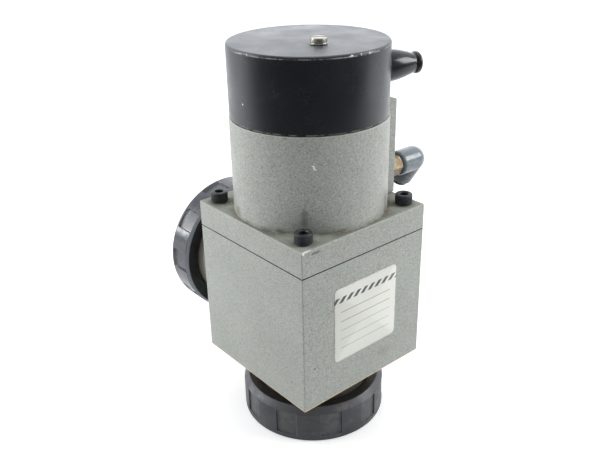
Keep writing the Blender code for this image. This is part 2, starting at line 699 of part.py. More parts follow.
def make_valve_train():
    """What lifts as one: disc, its seal, stem, piston, its seal, and a nut at each end of the stem."""
    seal_bottom = DISC_BOTTOM - DISC_SEAL_PROUD
    seal_top = seal_bottom + DISC_SEAL_THICK
    stem_hole = STEM_END_R + GAP
    disc = tube("valve_disc", stem_hole, DISC_R, DISC_BOTTOM, DISC_TOP, BARE_ALUMINIUM)
    groove = tube(
        "disc_groove_cutter",
        DISC_SEAL_INNER_R - GAP,
        DISC_SEAL_OUTER_R + GAP,
        DISC_BOTTOM - CUT_PAST,
        seal_top + GAP,
    )
    cut(disc, place(groove))
    place(disc)
    place(tube("disc_seal", DISC_SEAL_INNER_R, DISC_SEAL_OUTER_R, seal_bottom, seal_top, SEAL_RUBBER))
    lower_nut_top = DISC_BOTTOM - GAP
    upper_nut_bottom = PISTON_TOP + GAP
    stem = turned(
        "valve_stem",
        [
            (0, upper_nut_bottom + NUT_THICK + STEM_END_PAST_NUT),
            (STEM_END_R, upper_nut_bottom + NUT_THICK + STEM_END_PAST_NUT),
            (STEM_END_R, PISTON_BOTTOM - GAP),
            (STEM_R, PISTON_BOTTOM - GAP),
            (STEM_R, DISC_TOP + GAP),
            (STEM_END_R, DISC_TOP + GAP),
            (STEM_END_R, lower_nut_top - NUT_THICK - STEM_END_PAST_NUT),
            (0, lower_nut_top - NUT_THICK - STEM_END_PAST_NUT),
        ],
        PLAIN_STEEL,
        SMALL_FACETS,
    )
    place(stem)
    for name, bottom in (
        ("disc_nut", lower_nut_top - NUT_THICK),
        ("piston_nut", upper_nut_bottom),
    ):
        nut = hexagon(name, NUT_ACROSS_FLATS, bottom, bottom + NUT_THICK, PLAIN_STEEL)
        hole = rod(name + "_hole", stem_hole, bottom - CUT_PAST, bottom + NUT_THICK + CUT_PAST)
        cut(nut, place(hole))
        place(nut)
    seal_low = (PISTON_BOTTOM + PISTON_TOP - PISTON_SEAL_HEIGHT) / 2
    seal_high = seal_low + PISTON_SEAL_HEIGHT
    groove_r = PISTON_R - PISTON_SEAL_DEPTH
    piston = turned(
        "piston",
        [
            (stem_hole, PISTON_TOP),
            (PISTON_R, PISTON_TOP),
            (PISTON_R, seal_high + GAP),
            (groove_r, seal_high + GAP),
            (groove_r, seal_low - GAP),
            (PISTON_R, seal_low - GAP),
            (PISTON_R, PISTON_BOTTOM),
            (stem_hole, PISTON_BOTTOM),
        ],
        BARE_ALUMINIUM,
        INNER_FACETS,
    )
    place(piston)
    place(tube("piston_seal", groove_r + GAP, PISTON_R, seal_low, seal_high, SEAL_RUBBER))


def make_stem_guide():
    """Bronze bush in the bonnet's web, with the stem seal below it."""
    bore = STEM_R + RUNNING_GAP
    bush_bottom = BORE_FLOOR - BUSH_LENGTH
    place(tube("stem_bush", bore, BUSH_R, bush_bottom, BORE_FLOOR, BRONZE, SMALL_FACETS))
    seal_top = bush_bottom - GAP
    seal = tube("stem_seal", bore, BUSH_R, seal_top - STEM_SEAL_LENGTH, seal_top, SEAL_RUBBER, SMALL_FACETS)
    place(seal)


def make_cylinder_head():
    """Head plate over the return spring, its seal, and the circlip that holds it in the bore."""
    head_r = CYLINDER_BORE_R - GAP
    seal_low = (HEAD_BOTTOM + HEAD_TOP - HEAD_SEAL_HEIGHT) / 2
    seal_high = seal_low + HEAD_SEAL_HEIGHT
    groove_r = head_r - HEAD_SEAL_DEPTH
    head = turned(
        "cylinder_head",
        [
            (0, HEAD_TOP),
            (head_r, HEAD_TOP),
            (head_r, seal_high + GAP),
            (groove_r, seal_high + GAP),
            (groove_r, seal_low - GAP),
            (head_r, seal_low - GAP),
            (head_r, HEAD_BOTTOM),
            (HEAD_SPRING_RECESS_R, HEAD_BOTTOM),
            (HEAD_SPRING_RECESS_R, HEAD_BOTTOM + HEAD_SPRING_RECESS),
            (0, HEAD_BOTTOM + HEAD_SPRING_RECESS),
        ],
        BARE_ALUMINIUM,
        INNER_FACETS,
    )
    place(head)
    place(tube("head_seal", groove_r + GAP, head_r, seal_low, seal_high, SEAL_RUBBER))
    outer = CYLINDER_BORE_R + CIRCLIP_IN_GROOVE
    start, end = CIRCLIP_OPENING / 2, 2 * pi - CIRCLIP_OPENING / 2
    outline = arc(outer, start, end, INNER_FACETS) + arc(outer - CIRCLIP_WIDTH, end, start, INNER_FACETS)
    circlip_top = CIRCLIP_BOTTOM + CIRCLIP_THICK
    place(flat_outline("head_circlip", [outline], CIRCLIP_BOTTOM, circlip_top, PLAIN_STEEL))
    spring = coil_spring(
        "return_spring",
        SPRING_COIL_R,
        SPRING_WIRE_R,
        SPRING_TURNS,
        PISTON_TOP + GAP,
        HEAD_BOTTOM + HEAD_SPRING_RECESS - GAP,
        PLAIN_STEEL,
    )
    place(spring)


def make_cover():
    """The black cover, its screw, and the pillar on the cylinder head that takes the screw."""
    edge = [
        (COVER_R - COVER_EDGE + x, COVER_TOP - COVER_EDGE + z)
        for x, z in arc(COVER_EDGE, pi / 2, 0, 4)
    ]
    inner_r = COVER_R - COVER_WALL
    cover = turned(
        "cover",
        [(0, COVER_TOP)]
        + edge
        + [
            (COVER_R, COVER_BOTTOM),
            (inner_r, COVER_BOTTOM),
            (inner_r, COVER_CEILING),
            (0, COVER_CEILING),
        ],
        BLACK_PAINT,
    )
    screw_at = (PILLAR_X, PILLAR_Y, 0)
    screw_hole = rod(
        "cover_screw_hole", COVER_SCREW_R + GAP, COVER_CEILING - CUT_PAST, COVER_TOP + CUT_PAST
    )
    cut(cover, place(screw_hole, at=screw_at))
    boot_hole = rod(
        "cover_boot_hole", BOOT_GROOVE_R + GAP, inner_r - BOOT_LIP_R, COVER_R + CUT_PAST
    )
    cut(cover, place(boot_hole, boot_direction(), (0, 0, BOOT_Z)))
    place(cover)
    pillar_top = COVER_CEILING - GAP
    pillar = rod("cover_pillar", PILLAR_R, HEAD_TOP + GAP, pillar_top, PLAIN_STEEL)
    tapped = rod(
        "pillar_hole", COVER_SCREW_R + GAP, COVER_TOP - COVER_SCREW_LENGTH - CUT_PAST, pillar_top + CUT_PAST
    )
    cut(pillar, place(tapped, at=screw_at))
    place(pillar, at=screw_at)
    seat = COVER_TOP + GAP
    head_top = seat + COVER_SCREW_HEAD_HEIGHT
    dome = [
        (COVER_SCREW_HEAD_R * sin(pi / 2 * i / 3), head_top - COVER_SCREW_DOME * (1 - cos(pi / 2 * i / 3)))
        for i in range(4)
    ]
    screw = turned(
        "cover_screw",
        [
            *dome,
            (COVER_SCREW_HEAD_R, seat),
            (COVER_SCREW_R, seat),
            (COVER_SCREW_R, COVER_TOP - COVER_SCREW_LENGTH),
            (0, COVER_TOP - COVER_SCREW_LENGTH),
        ],
        NICKEL,
        SMALL_FACETS,
    )
    slot = block(
        "cover_screw_slot",
        (-COVER_SCREW_HEAD_R - CUT_PAST, -COVER_SCREW_SLOT_WIDTH / 2, head_top - COVER_SCREW_SLOT_DEPTH),
        (COVER_SCREW_HEAD_R + CUT_PAST, COVER_SCREW_SLOT_WIDTH / 2, head_top + CUT_PAST),
    )
    cut(screw, place(slot, Matrix.Rotation(COVER_SCREW_SLOT_TURN, 4, "Z"), screw_at))
    place(screw, at=screw_at)


def boot_direction():
    """Turns +Z to point level and outwards at the cable boot."""
    return Matrix.Rotation(BOOT_AZIMUTH, 4, "Z") @ Matrix.Rotation(pi / 2, 4, "Y")


def make_cable_boot():
    """Moulded rubber boot: a lip inside the cover, a groove in its hole, a taper and an end bead."""
    inner_r = COVER_R - COVER_WALL
    lip_out = sqrt(inner_r**2 - BOOT_LIP_R**2) - GAP
    base = COVER_R + GAP
    bead_start = base + BOOT_TAPER_LENGTH
    bead_middle = bead_start + BOOT_BEAD_LENGTH / 2
    bead_rise = BOOT_BEAD_R - BOOT_NECK_R
    taper = [
        (BOOT_NECK_R + (BOOT_BASE_R - BOOT_NECK_R) * cos(pi / 2 * i / 6), base + BOOT_TAPER_LENGTH * i / 6)
        for i in range(6, -1, -1)
    ]
    bead = [
        (BOOT_NECK_R + bead_rise * cos(a), bead_middle + BOOT_BEAD_LENGTH / 2 * sin(a))
        for a in (pi / 2 - i * pi / 4 for i in range(4))
    ]
    boot = turned(
        "cable_boot",
        [(BOOT_BORE_R, bead_start + BOOT_BEAD_LENGTH)]
        + bead
        + taper
        + [
            (BOOT_GROOVE_R, base),
            (BOOT_GROOVE_R, lip_out),
            (BOOT_LIP_R, lip_out),
            (BOOT_LIP_R, lip_out - BOOT_LIP_THICK),
            (BOOT_BORE_R, lip_out - BOOT_LIP_THICK),
        ],
        BOOT_RUBBER,
        SMALL_FACETS,
    )
    place(boot, boot_direction(), (0, 0, BOOT_Z))


def make_pilot_valve():
    """Solenoid pilot valve on the cylinder head, with its plunger, springs, coil and terminal block."""
    base_bottom = HEAD_TOP + GAP
    base_top = base_bottom + PILOT_HEIGHT
    coil_bottom = base_top + GAP
    coil_top = coil_bottom + COIL_HEIGHT
    at = (PILOT_X, 0, 0)
    base = block(
        "pilot_valve_body",
        (-PILOT_LENGTH / 2, -PILOT_WIDTH / 2, base_bottom),
        (PILOT_LENGTH / 2, PILOT_WIDTH / 2, base_top),
        BRASS,
        BLOCK_EDGE,
    )
    place(base, at=at)
    coil = tube("solenoid_coil", CORE_TUBE_R + GAP, COIL_R, coil_bottom, coil_top, COIL_RESIN, INNER_FACETS)
    place(coil, at=at)
    tube_top = coil_top + CORE_TUBE_PAST_COIL
    cavity_r = CORE_TUBE_R - CORE_TUBE_WALL
    cavity_top = tube_top - CORE_TUBE_WALL
    core_tube = turned(
        "core_tube",
        [
            (0, tube_top),
            (CORE_TUBE_R, tube_top),
            (CORE_TUBE_R, coil_bottom),
            (cavity_r, coil_bottom),
            (cavity_r, cavity_top),
            (0, cavity_top),
        ],
        PLAIN_STEEL,
        SMALL_FACETS,
    )
    place(core_tube, at=at)
    nut_bottom = coil_top + GAP
    nut = hexagon("core_nut", CORE_NUT_ACROSS_FLATS, nut_bottom, nut_bottom + CORE_NUT_THICK, PLAIN_STEEL)
    hole = rod(
        "core_nut_hole", CORE_TUBE_R + GAP, nut_bottom - CUT_PAST, nut_bottom + CORE_NUT_THICK + CUT_PAST
    )
    cut(nut, place(hole, at=at))
    place(nut, at=at)
    plunger_r = cavity_r - RUNNING_GAP
    plunger_top = coil_bottom + PLUNGER_LENGTH
    place(rod("pilot_plunger", plunger_r, coil_bottom, plunger_top, PLAIN_STEEL), at=at)
    spring = coil_spring(
        "plunger_spring",
        plunger_r - PLUNGER_SPRING_WIRE_R,
        PLUNGER_SPRING_WIRE_R,
        PLUNGER_SPRING_TURNS,
        plunger_top + GAP,
        cavity_top - GAP,
        PLAIN_STEEL,
    )
    place(spring, at=at)
    terminal = block(
        "terminal_block",
        (-TERMINAL_LENGTH / 2, -TERMINAL_WIDTH / 2, base_bottom),
        (TERMINAL_LENGTH / 2, TERMINAL_WIDTH / 2, base_bottom + TERMINAL_HEIGHT),
        TERMINAL_PLASTIC,
        BLOCK_EDGE,
    )
    middle = base_bottom + TERMINAL_HEIGHT / 2
    for number, side in enumerate((-1, 1), 1):
        wire_hole = rod(
            f"terminal_wire_hole_{number}",
            TERMINAL_WIRE_HOLE_R,
            -TERMINAL_WIDTH / 2 - CUT_PAST,
            TERMINAL_WIDTH / 2 + CUT_PAST,
            facets=12,
        )
        x = TERMINAL_X + side * TERMINAL_LENGTH / 4
        cut(terminal, place(wire_hole, TOWARDS_AIR_SIDE, (x, TERMINAL_Y, middle)))
    place(terminal, at=(TERMINAL_X, TERMINAL_Y, 0))


def side_plate_bottom():
    return PLATE_TOP + GAP


def side_plate_top():
    return JOINT + SIDE_PLATE_PAST_JOINT


def side_screw_heights():
    return (side_plate_bottom() + SIDE_SCREW_INSET, side_plate_top() - SIDE_SCREW_INSET)


def make_side_plate():
    """Flat air plate on the cylinder's side, hollowed to fit round it, with its two screws."""
    half = SIDE_PLATE_WIDTH / 2
    saddle_r = max(CYLINDER_R, COVER_R) + GAP
    plate = block(
        "side_plate",
        (-half, sqrt(saddle_r**2 - half**2) - CUT_PAST, side_plate_bottom()),
        (half, BLOCK_HALF, side_plate_top()),
        GREY_PAINT,
    )
    saddle = rod(
        "saddle_cutter",
        saddle_r,
        side_plate_bottom() - CUT_PAST,
        side_plate_top() + CUT_PAST,
        facets=WIDE_FACETS,
    )
    cut(plate, place(saddle))
    port = rod("side_plate_port", FITTING_THREAD_R + GAP, 0, BLOCK_HALF + CUT_PAST)
    cut(plate, place(port, TOWARDS_AIR_SIDE, (FITTING_X, 0, FITTING_Z)))
    for number, z in enumerate(side_screw_heights(), 1):
        hole = rod(f"side_plate_hole_{number}", SIDE_SCREW_R + GAP, 0, BLOCK_HALF + CUT_PAST)
        cut(plate, place(hole, TOWARDS_AIR_SIDE, (SIDE_SCREW_X, 0, z)))
        seat = BLOCK_HALF + GAP
        head_top = seat + SIDE_SCREW_HEAD_HEIGHT
        screw = turned(
            f"side_plate_screw_{number}",
            [
                (0, head_top),
                (SIDE_SCREW_HEAD_R, head_top),
                (SIDE_SCREW_HEAD_R, seat),
                (SIDE_SCREW_R, seat),
                (SIDE_SCREW_R, BLOCK_HALF - SIDE_SCREW_LENGTH),
                (0, BLOCK_HALF - SIDE_SCREW_LENGTH),
            ],
            BLACK_STEEL,
            SMALL_FACETS,
        )
        slot = block(
            f"side_screw_slot_{number}",
            (-SIDE_SCREW_HEAD_R - CUT_PAST, -SIDE_SCREW_SLOT_WIDTH / 2, head_top - SIDE_SCREW_SLOT_DEPTH),
            (SIDE_SCREW_HEAD_R + CUT_PAST, SIDE_SCREW_SLOT_WIDTH / 2, head_top + CUT_PAST),
        )
        cut(screw, place(slot, TOWARDS_AIR_SIDE, (SIDE_SCREW_X, 0, z)))
        place(screw, TOWARDS_AIR_SIDE, (SIDE_SCREW_X, 0, z))
    place(plate)


def make_air_fitting():
    """Brass adaptor in the side plate, the swivelling elbow on it, and the elbow's release collet."""
    at = (FITTING_X, 0, FITTING_Z)
    hex_start = BLOCK_HALF + GAP
    hex_end = hex_start + FITTING_HEX_LENGTH
    thread_end = BLOCK_HALF - FITTING_THREAD_LENGTH
    fitting = hexagon("air_fitting", FITTING_ACROSS_FLATS, hex_start, hex_end, BRASS)
    thread = rod("fitting_thread_shape", FITTING_THREAD_R, thread_end, hex_start + CUT_PAST)
    join(fitting, place(thread, TOWARDS_AIR_SIDE, at))
    bore = rod("fitting_bore_cutter", FITTING_BORE_R, thread_end - CUT_PAST, hex_end + CUT_PAST)
    cut(fitting, place(bore, TOWARDS_AIR_SIDE, at))
    place(fitting, TOWARDS_AIR_SIDE, at)

    barrel_start = hex_end + GAP
    stub_end = barrel_start - ELBOW_STUB_LENGTH
    dome = [(x, ELBOW_CORNER + z) for x, z in arc(ELBOW_R, pi / 2, 0, 5)]
    dome[0] = (0, ELBOW_CORNER + ELBOW_R)
    elbow = turned(
        "air_elbow",
        dome
        + [
            (ELBOW_R, barrel_start),
            (ELBOW_STUB_R, barrel_start),
            (ELBOW_STUB_R, stub_end),
            (0, stub_end),
        ],
        ELBOW_PLASTIC,
        SMALL_FACETS,
    )
    corner = (FITTING_X, ELBOW_CORNER, FITTING_Z)
    leg = rod("elbow_leg_shape", ELBOW_R, 0, ELBOW_LEG)
    join(elbow, place(leg, elbow_leg_direction(), corner))
    socket = rod("elbow_socket_cutter", ELBOW_SOCKET_R, ELBOW_LEG - ELBOW_SOCKET_DEPTH, ELBOW_LEG + CUT_PAST)
    cut(elbow, place(socket, elbow_leg_direction(), corner))
    down = rod("elbow_down_passage", ELBOW_PASSAGE_R, 0, ELBOW_LEG, facets=12)
    cut(elbow, place(down, elbow_leg_direction(), corner))
    along_end = ELBOW_CORNER + ELBOW_PASSAGE_R
    along = rod("elbow_along_passage", ELBOW_PASSAGE_R, stub_end - CUT_PAST, along_end, facets=12)
    cut(elbow, place(along, TOWARDS_AIR_SIDE, at))
    place(elbow, TOWARDS_AIR_SIDE, at)

    flange_in = ELBOW_LEG + COLLET_TRAVEL + GAP
    flange_out = flange_in + COLLET_FLANGE_THICK
    sleeve_in = flange_in - COLLET_SLEEVE_LENGTH
    collet = turned(
        "elbow_collet",
        [
            (COLLET_BORE_R, flange_out),
            (COLLET_FLANGE_R, flange_out),
            (COLLET_FLANGE_R, flange_in),
            (ELBOW_SOCKET_R - RUNNING_GAP, flange_in),
            (ELBOW_SOCKET_R - RUNNING_GAP, sleeve_in),
            (COLLET_BORE_R, sleeve_in),
        ],
        BLACK_PLASTIC,
        SMALL_FACETS,
    )
    place(collet, elbow_leg_direction(), corner)


def elbow_leg_direction():
    """Turns +Z to point down and a little towards the side port, along the elbow's lower leg."""
    return Matrix.Rotation(pi + ELBOW_LEG_ANGLE, 4, "Y")


def make_label():
    """Thin label with rounded corners on the block's +X face."""
    half_w, half_h = LABEL_WIDTH / 2, LABEL_HEIGHT / 2
    inner_w, inner_h = half_w - LABEL_CORNER_R, half_h - LABEL_CORNER_R
    outline = []
    for quarter, (x, y) in enumerate(
        ((inner_w, inner_h), (-inner_w, inner_h), (-inner_w, -inner_h), (inner_w, -inner_h))
    ):
        start = quarter * pi / 2
        outline += arc(LABEL_CORNER_R, start, start + pi / 2, 4, (x, y))
    label = flat_outline("label", [outline], BLOCK_HALF + LABEL_GAP, LABEL_FACE, LABEL_FILM)
    facing_x = Matrix(((0, 0, 1, 0), (1, 0, 0, 0), (0, 1, 0, 0), (0, 0, 0, 1)))
    place(label, facing_x, (0, 0, BLOCK_TOP - LABEL_DROP - half_h))


def make_valve():
    make_body()
    make_neck("bottom_port_neck", BLOCK_UNDERSIDE_DROP, OUT_OF_BOTTOM_PORT)
    make_neck("side_port_neck", BLOCK_HALF, OUT_OF_SIDE_PORT)
    make_ring_nut(
        "bottom_ring_nut",
        PORT_FACE,
        OUT_OF_BOTTOM_PORT,
        BOTTOM_NUT_FIRST_RECESS,
        BOTTOM_NUT_HEIGHT,
        BOTTOM_NUT_WEB,
        BOTTOM_NUT_BEVEL_WIDTH,
        BOTTOM_NUT_BEVEL_HEIGHT,
        BOTTOM_NUT_RIM,
    )
    make_ring_nut(
        "side_ring_nut",
        SIDE_NUT_END,
        OUT_OF_SIDE_PORT,
        SIDE_NUT_FIRST_RECESS,
        SIDE_NUT_HEIGHT,
        SIDE_NUT_WEB,
        SIDE_NUT_BEVEL_WIDTH,
        SIDE_NUT_BEVEL_HEIGHT,
        SIDE_NUT_RIM,
    )
    make_bonnet()
    make_bonnet_fasteners()
    make_valve_train()
    make_stem_guide()
    make_cylinder_head()
    make_cover()
    make_cable_boot()
    make_pilot_valve()
    make_side_plate()
    make_air_fitting()
    make_label()


make_valve()
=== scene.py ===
"""Looks of the vacuum angle valve: its painted block and cylinder, black cover, ring nuts and fittings.

Every piece is made where its solid lies in the frame. Sizes are in metres.
"""

from math import cos, pi, radians, sin, sqrt

import bmesh
import bpy
from mathutils import Matrix, Vector


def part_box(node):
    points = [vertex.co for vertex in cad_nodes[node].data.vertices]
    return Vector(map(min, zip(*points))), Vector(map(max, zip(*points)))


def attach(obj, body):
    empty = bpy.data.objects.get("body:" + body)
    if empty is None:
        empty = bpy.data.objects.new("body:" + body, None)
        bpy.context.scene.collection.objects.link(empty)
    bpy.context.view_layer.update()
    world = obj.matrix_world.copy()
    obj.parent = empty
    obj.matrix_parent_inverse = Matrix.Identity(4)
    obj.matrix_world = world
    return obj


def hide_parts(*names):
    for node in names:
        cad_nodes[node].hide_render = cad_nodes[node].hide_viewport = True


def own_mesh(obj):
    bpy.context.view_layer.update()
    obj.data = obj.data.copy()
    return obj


MM = 0.001
UP = Vector((0, 0, 1))
FRONT_OF_VALVE = (0.759, -0.651, 0.0)

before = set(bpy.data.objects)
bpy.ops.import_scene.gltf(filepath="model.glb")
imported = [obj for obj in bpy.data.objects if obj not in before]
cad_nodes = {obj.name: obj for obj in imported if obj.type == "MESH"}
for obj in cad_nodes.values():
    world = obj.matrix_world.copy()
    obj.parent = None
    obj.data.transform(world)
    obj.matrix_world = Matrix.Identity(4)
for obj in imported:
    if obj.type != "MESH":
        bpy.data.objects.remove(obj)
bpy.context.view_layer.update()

# Camera of the photograph
CAMERA_FROM_AXIS = Vector((0.25845, -0.22167, 0.26613))
CAMERA_YAW = radians(139.989)
CAMERA_PITCH = radians(25.306)
CAMERA_ROLL = radians(1.151)
CAMERA_LENS = 43.809

# Places read from the frame
block_low, block_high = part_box("valve_body")
cover_low, cover_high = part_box("cover")
bonnet_low, bonnet_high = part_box("bonnet")
label_low, label_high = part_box("label")
plate_low, plate_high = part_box("side_plate")
lower_nut_low, lower_nut_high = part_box("bottom_ring_nut")
side_nut_low, side_nut_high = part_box("side_ring_nut")
lower_neck_low, lower_neck_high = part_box("bottom_port_neck")
boot_low, boot_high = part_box("cable_boot")

GAP = 0.3 * MM
AXIS = Vector(((block_low.x + block_high.x) / 2, (block_low.y + block_high.y) / 2, 0))
BLOCK_HALF = (block_high.x - block_low.x) / 2
PLATE_TOP = plate_low.z - GAP
JOINT = cover_low.z - GAP
PORT_Z = (side_nut_low.z + side_nut_high.z) / 2
COVER_R = (cover_high.x - cover_low.x) / 2
NUT_R = (lower_nut_high.x - lower_nut_low.x) / 2
SIDE_NUT_END = AXIS.x - side_nut_low.x
COLLAR_R = (lower_neck_high.x - lower_neck_low.x) / 2

# Sizes that no box gives. Cutting shapes reach CUT_PAST beyond the faces they cut.
CUT_PAST = 2 * MM
BLOCK_EDGE = 0.7 * MM
CYLINDER_R = COVER_R + 0.35 * MM
CYLINDER_BORE_R = 30.0 * MM
SPIGOT_R = 35.9 * MM
BORE_FLOOR_RISE = 4.5 * MM
BUSH_HOLE_R = 8.3 * MM
CHAMBER_R = 31.0 * MM
CHAMBER_FLOOR_RISE = 13.0 * MM
SEAT_HEIGHT = 4.0 * MM
SEAT_R = 24.0 * MM
PORT_BORE_R = 20.0 * MM
NECK_R = 30.5 * MM
NECK_SEAT_DEPTH = 8.0 * MM
COLLAR_THICK = 6.0 * MM
COLLAR_RECESS_R = 26.0 * MM
COLLAR_RECESS_DEPTH = 1.5 * MM
COVER_WALL = 1.6 * MM
COVER_EDGE = 1.3 * MM
NUT_SOCKET_R = 33.0 * MM
NUT_RECESS_HALF = radians(8.5)
NUT_RECESS_DEPTH = 0.9 * MM
NUT_RECESS_COUNT = 10
NUT_WALL_HALF = radians(0.28)
NUT_END_WALL = 0.2 * MM
NUT_THREAD_PITCH = 2.0 * MM
NUT_THREAD_DEPTH = 0.7 * MM
LOWER_NUT = dict(
    height=20.0 * MM,
    web=5.0 * MM,
    bevel_width=2.7 * MM,
    bevel_height=3.4 * MM,
    rim=2.7 * MM,
    run_out=0.2 * MM,
    first=radians(-9.0),
)
SIDE_NUT = dict(
    height=15.5 * MM,
    web=3.9 * MM,
    bevel_width=1.2 * MM,
    bevel_height=1.5 * MM,
    rim=1.4 * MM,
    run_out=2.2 * MM,
    first=radians(19.7),
)
SPRING_TURNS = 3.5
SPRING_STEPS = 36
SPRING_END_FLATTENING = 0.5
RETURN_SPRING_WIRE_R = 1.4 * MM
PLUNGER_SPRING_WIRE_R = 0.4 * MM
COVER_SCREW_PLACE = (12.1 * MM, -4.3 * MM, 0)
BONNET_SCREW_FROM_AXIS = 32.6 * MM
PLATE_SCREW_HOLE_R = 2.3 * MM
FITTING_HOLE_R = 4.5 * MM
BOOT_AZIMUTH = radians(72.0)
ELBOW_LEG_ANGLE = radians(33.5)
ELBOW_R = 6.6 * MM
ELBOW_LEG = 14.0 * MM
ELBOW_SOCKET_R = 4.2 * MM
ELBOW_SOCKET_DEPTH = 11.0 * MM
ELBOW_PASSAGE_R = 1.6 * MM

FITTING_LOW, FITTING_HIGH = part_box("air_fitting")
ELBOW_LOW, ELBOW_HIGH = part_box("air_elbow")
FITTING_X = (FITTING_LOW.x + FITTING_HIGH.x) / 2 - AXIS.x
FITTING_Z = (FITTING_LOW.z + FITTING_HIGH.z) / 2
ELBOW_CORNER = ELBOW_HIGH.y - AXIS.y - ELBOW_R
BOOT_Z = (boot_low.z + boot_high.z) / 2

OUT_OF_LOWER_PORT = Matrix.Rotation(pi, 4, "X")
OUT_OF_SIDE_PORT = Matrix.Rotation(-pi / 2, 4, "Y")
TOWARDS_AIR_SIDE = Matrix.Rotation(-pi / 2, 4, "X")
ALONG_BOOT = Matrix.Rotation(BOOT_AZIMUTH, 4, "Z") @ Matrix.Rotation(pi / 2, 4, "Y")
ALONG_ELBOW_LEG = Matrix.Rotation(pi + ELBOW_LEG_ANGLE, 4, "Y")


def set_camera():
    """The photograph's camera, from its place, its turn and its lens."""
    forward = Vector(
        (
            cos(CAMERA_PITCH) * cos(CAMERA_YAW),
            cos(CAMERA_PITCH) * sin(CAMERA_YAW),
            -sin(CAMERA_PITCH),
        )
    )
    level = Vector((sin(CAMERA_YAW), -cos(CAMERA_YAW), 0))
    below = forward.cross(level)
    right = cos(CAMERA_ROLL) * level + sin(CAMERA_ROLL) * below
    down = -sin(CAMERA_ROLL) * level + cos(CAMERA_ROLL) * below
    data = bpy.data.cameras.new("photo_camera")
    data.sensor_width = 36
    data.lens = CAMERA_LENS
    data.clip_start = 0.01
    data.clip_end = 50
    camera = bpy.data.objects.new("photo_camera", data)
    bpy.context.scene.collection.objects.link(camera)
    turn = Matrix((right, -down, -forward)).transposed()
    camera.matrix_world = Matrix.Translation(AXIS + CAMERA_FROM_AXIS) @ turn.to_4x4()
    bpy.context.scene.camera = camera


set_camera()


# Shader building

def add(tree, kind, values=None, **settings):
    """A node with its settings, and its inputs set or joined."""
    made = tree.nodes.new(kind)
    for name, value in settings.items():
        setattr(made, name, value)
    for key, value in (values or {}).items():
        if isinstance(value, bpy.types.NodeSocket):
            tree.links.new(value, made.inputs[key])
        else:
            made.inputs[key].default_value = value
    return made


def maths(tree, operation, first, second=0.0, third=0.0, clamp=False):
    """The result of one sum on values."""
    made = add(tree, "ShaderNodeMath", {0: first, 1: second, 2: third}, operation=operation)
    made.use_clamp = clamp
    return made.outputs[0]


def product(tree, first, *others):
    """Values multiplied together."""
    for other in others:
        first = maths(tree, "MULTIPLY", first, other)
    return first


def hypotenuse(tree, first, second):
    """The distance that two distances square to each other make."""
    total = maths(tree, "ADD", product(tree, first, first), product(tree, second, second))
    return maths(tree, "SQRT", total)


def vector_maths(tree, operation, first, second=(0, 0, 0)):
    """The result of one sum on points: a value for a product or a length, otherwise a point."""
    made = add(tree, "ShaderNodeVectorMath", {0: first, 1: second}, operation=operation)
    return made.outputs["Value" if operation in ("DOT_PRODUCT", "LENGTH") else "Vector"]


def own_place(tree):
    """The point in the piece's own coordinates."""
    return add(tree, "ShaderNodeTexCoord").outputs["Object"]


def stored(tree, label):
    """A value kept with the piece's points."""
    return add(tree, "ShaderNodeAttribute", attribute_name=label).outputs["Fac"]


def facing_up(tree):
    """1 where the surface faces up, 0 where it is upright."""
    normal = add(tree, "ShaderNodeNewGeometry").outputs["Normal"]
    return add(tree, "ShaderNodeSeparateXYZ", {0: normal}).outputs["Z"]


def ramp_between(tree, value, low, high, to_low=0.0, to_high=1.0):
    """Smooth change from to_low to to_high as the value goes from low to high."""
    made = add(
        tree,
        "ShaderNodeMapRange",
        {0: value, 1: low, 2: high, 3: to_low, 4: to_high},
        interpolation_type="SMOOTHSTEP",
    )
    return made.outputs[0]


def blend(tree, share, first, second, kind="MIX"):
    """A colour between two colours."""
    made = add(tree, "ShaderNodeMix", data_type="RGBA", blend_type=kind)
    for key, value in ((0, share), (6, first), (7, second)):
        if isinstance(value, bpy.types.NodeSocket):
            tree.links.new(value, made.inputs[key])
        elif key == 0:
            made.inputs[key].default_value = value
        else:
            made.inputs[key].default_value = (*value, 1)
    return made.outputs[2]


def mixed(tree, share, first, second):
    """A value between two values."""
    made = add(tree, "ShaderNodeMix", data_type="FLOAT")
    for key, value in ((0, share), (2, first), (3, second)):
        if isinstance(value, bpy.types.NodeSocket):
            tree.links.new(value, made.inputs[key])
        else:
            made.inputs[key].default_value = value
    return made.outputs[0]


def mottle(tree, scale, detail=3.0, roughness=0.55, place=None, stretch=(1, 1, 1)):
    """Cloudy pattern in the piece's own coordinates, scale in features a metre."""
    if place is None:
        place = own_place(tree)
    if stretch != (1, 1, 1):
        place = vector_maths(tree, "MULTIPLY", place, stretch)
    made = add(
        tree,
        "ShaderNodeTexNoise",
        {"Vector": place, "Scale": scale, "Detail": detail, "Roughness": roughness},
    )
    return made.outputs[0]


def cloudy(tree, scale, detail, roughness, low, high, to_low=0.0, to_high=1.0):
    """Cloudy pattern spread from to_low to to_high."""
    return ramp_between(tree, mottle(tree, scale, detail, roughness), low, high, to_low, to_high)


def effect(name, inputs, outputs):
    """An empty shared effect with named inputs and outputs."""
    tree = bpy.data.node_groups.new(name, "ShaderNodeTree")
    for label, value in inputs:
        kind = "NodeSocketVector" if isinstance(value, tuple) else "NodeSocketFloat"
        socket = tree.interface.new_socket(label, in_out="INPUT", socket_type=kind)
        socket.default_value = value
    for label in outputs:
        tree.interface.new_socket(label, in_out="OUTPUT", socket_type="NodeSocketFloat")
    return tree, tree.nodes.new("NodeGroupInput").outputs, tree.nodes.new("NodeGroupOutput")


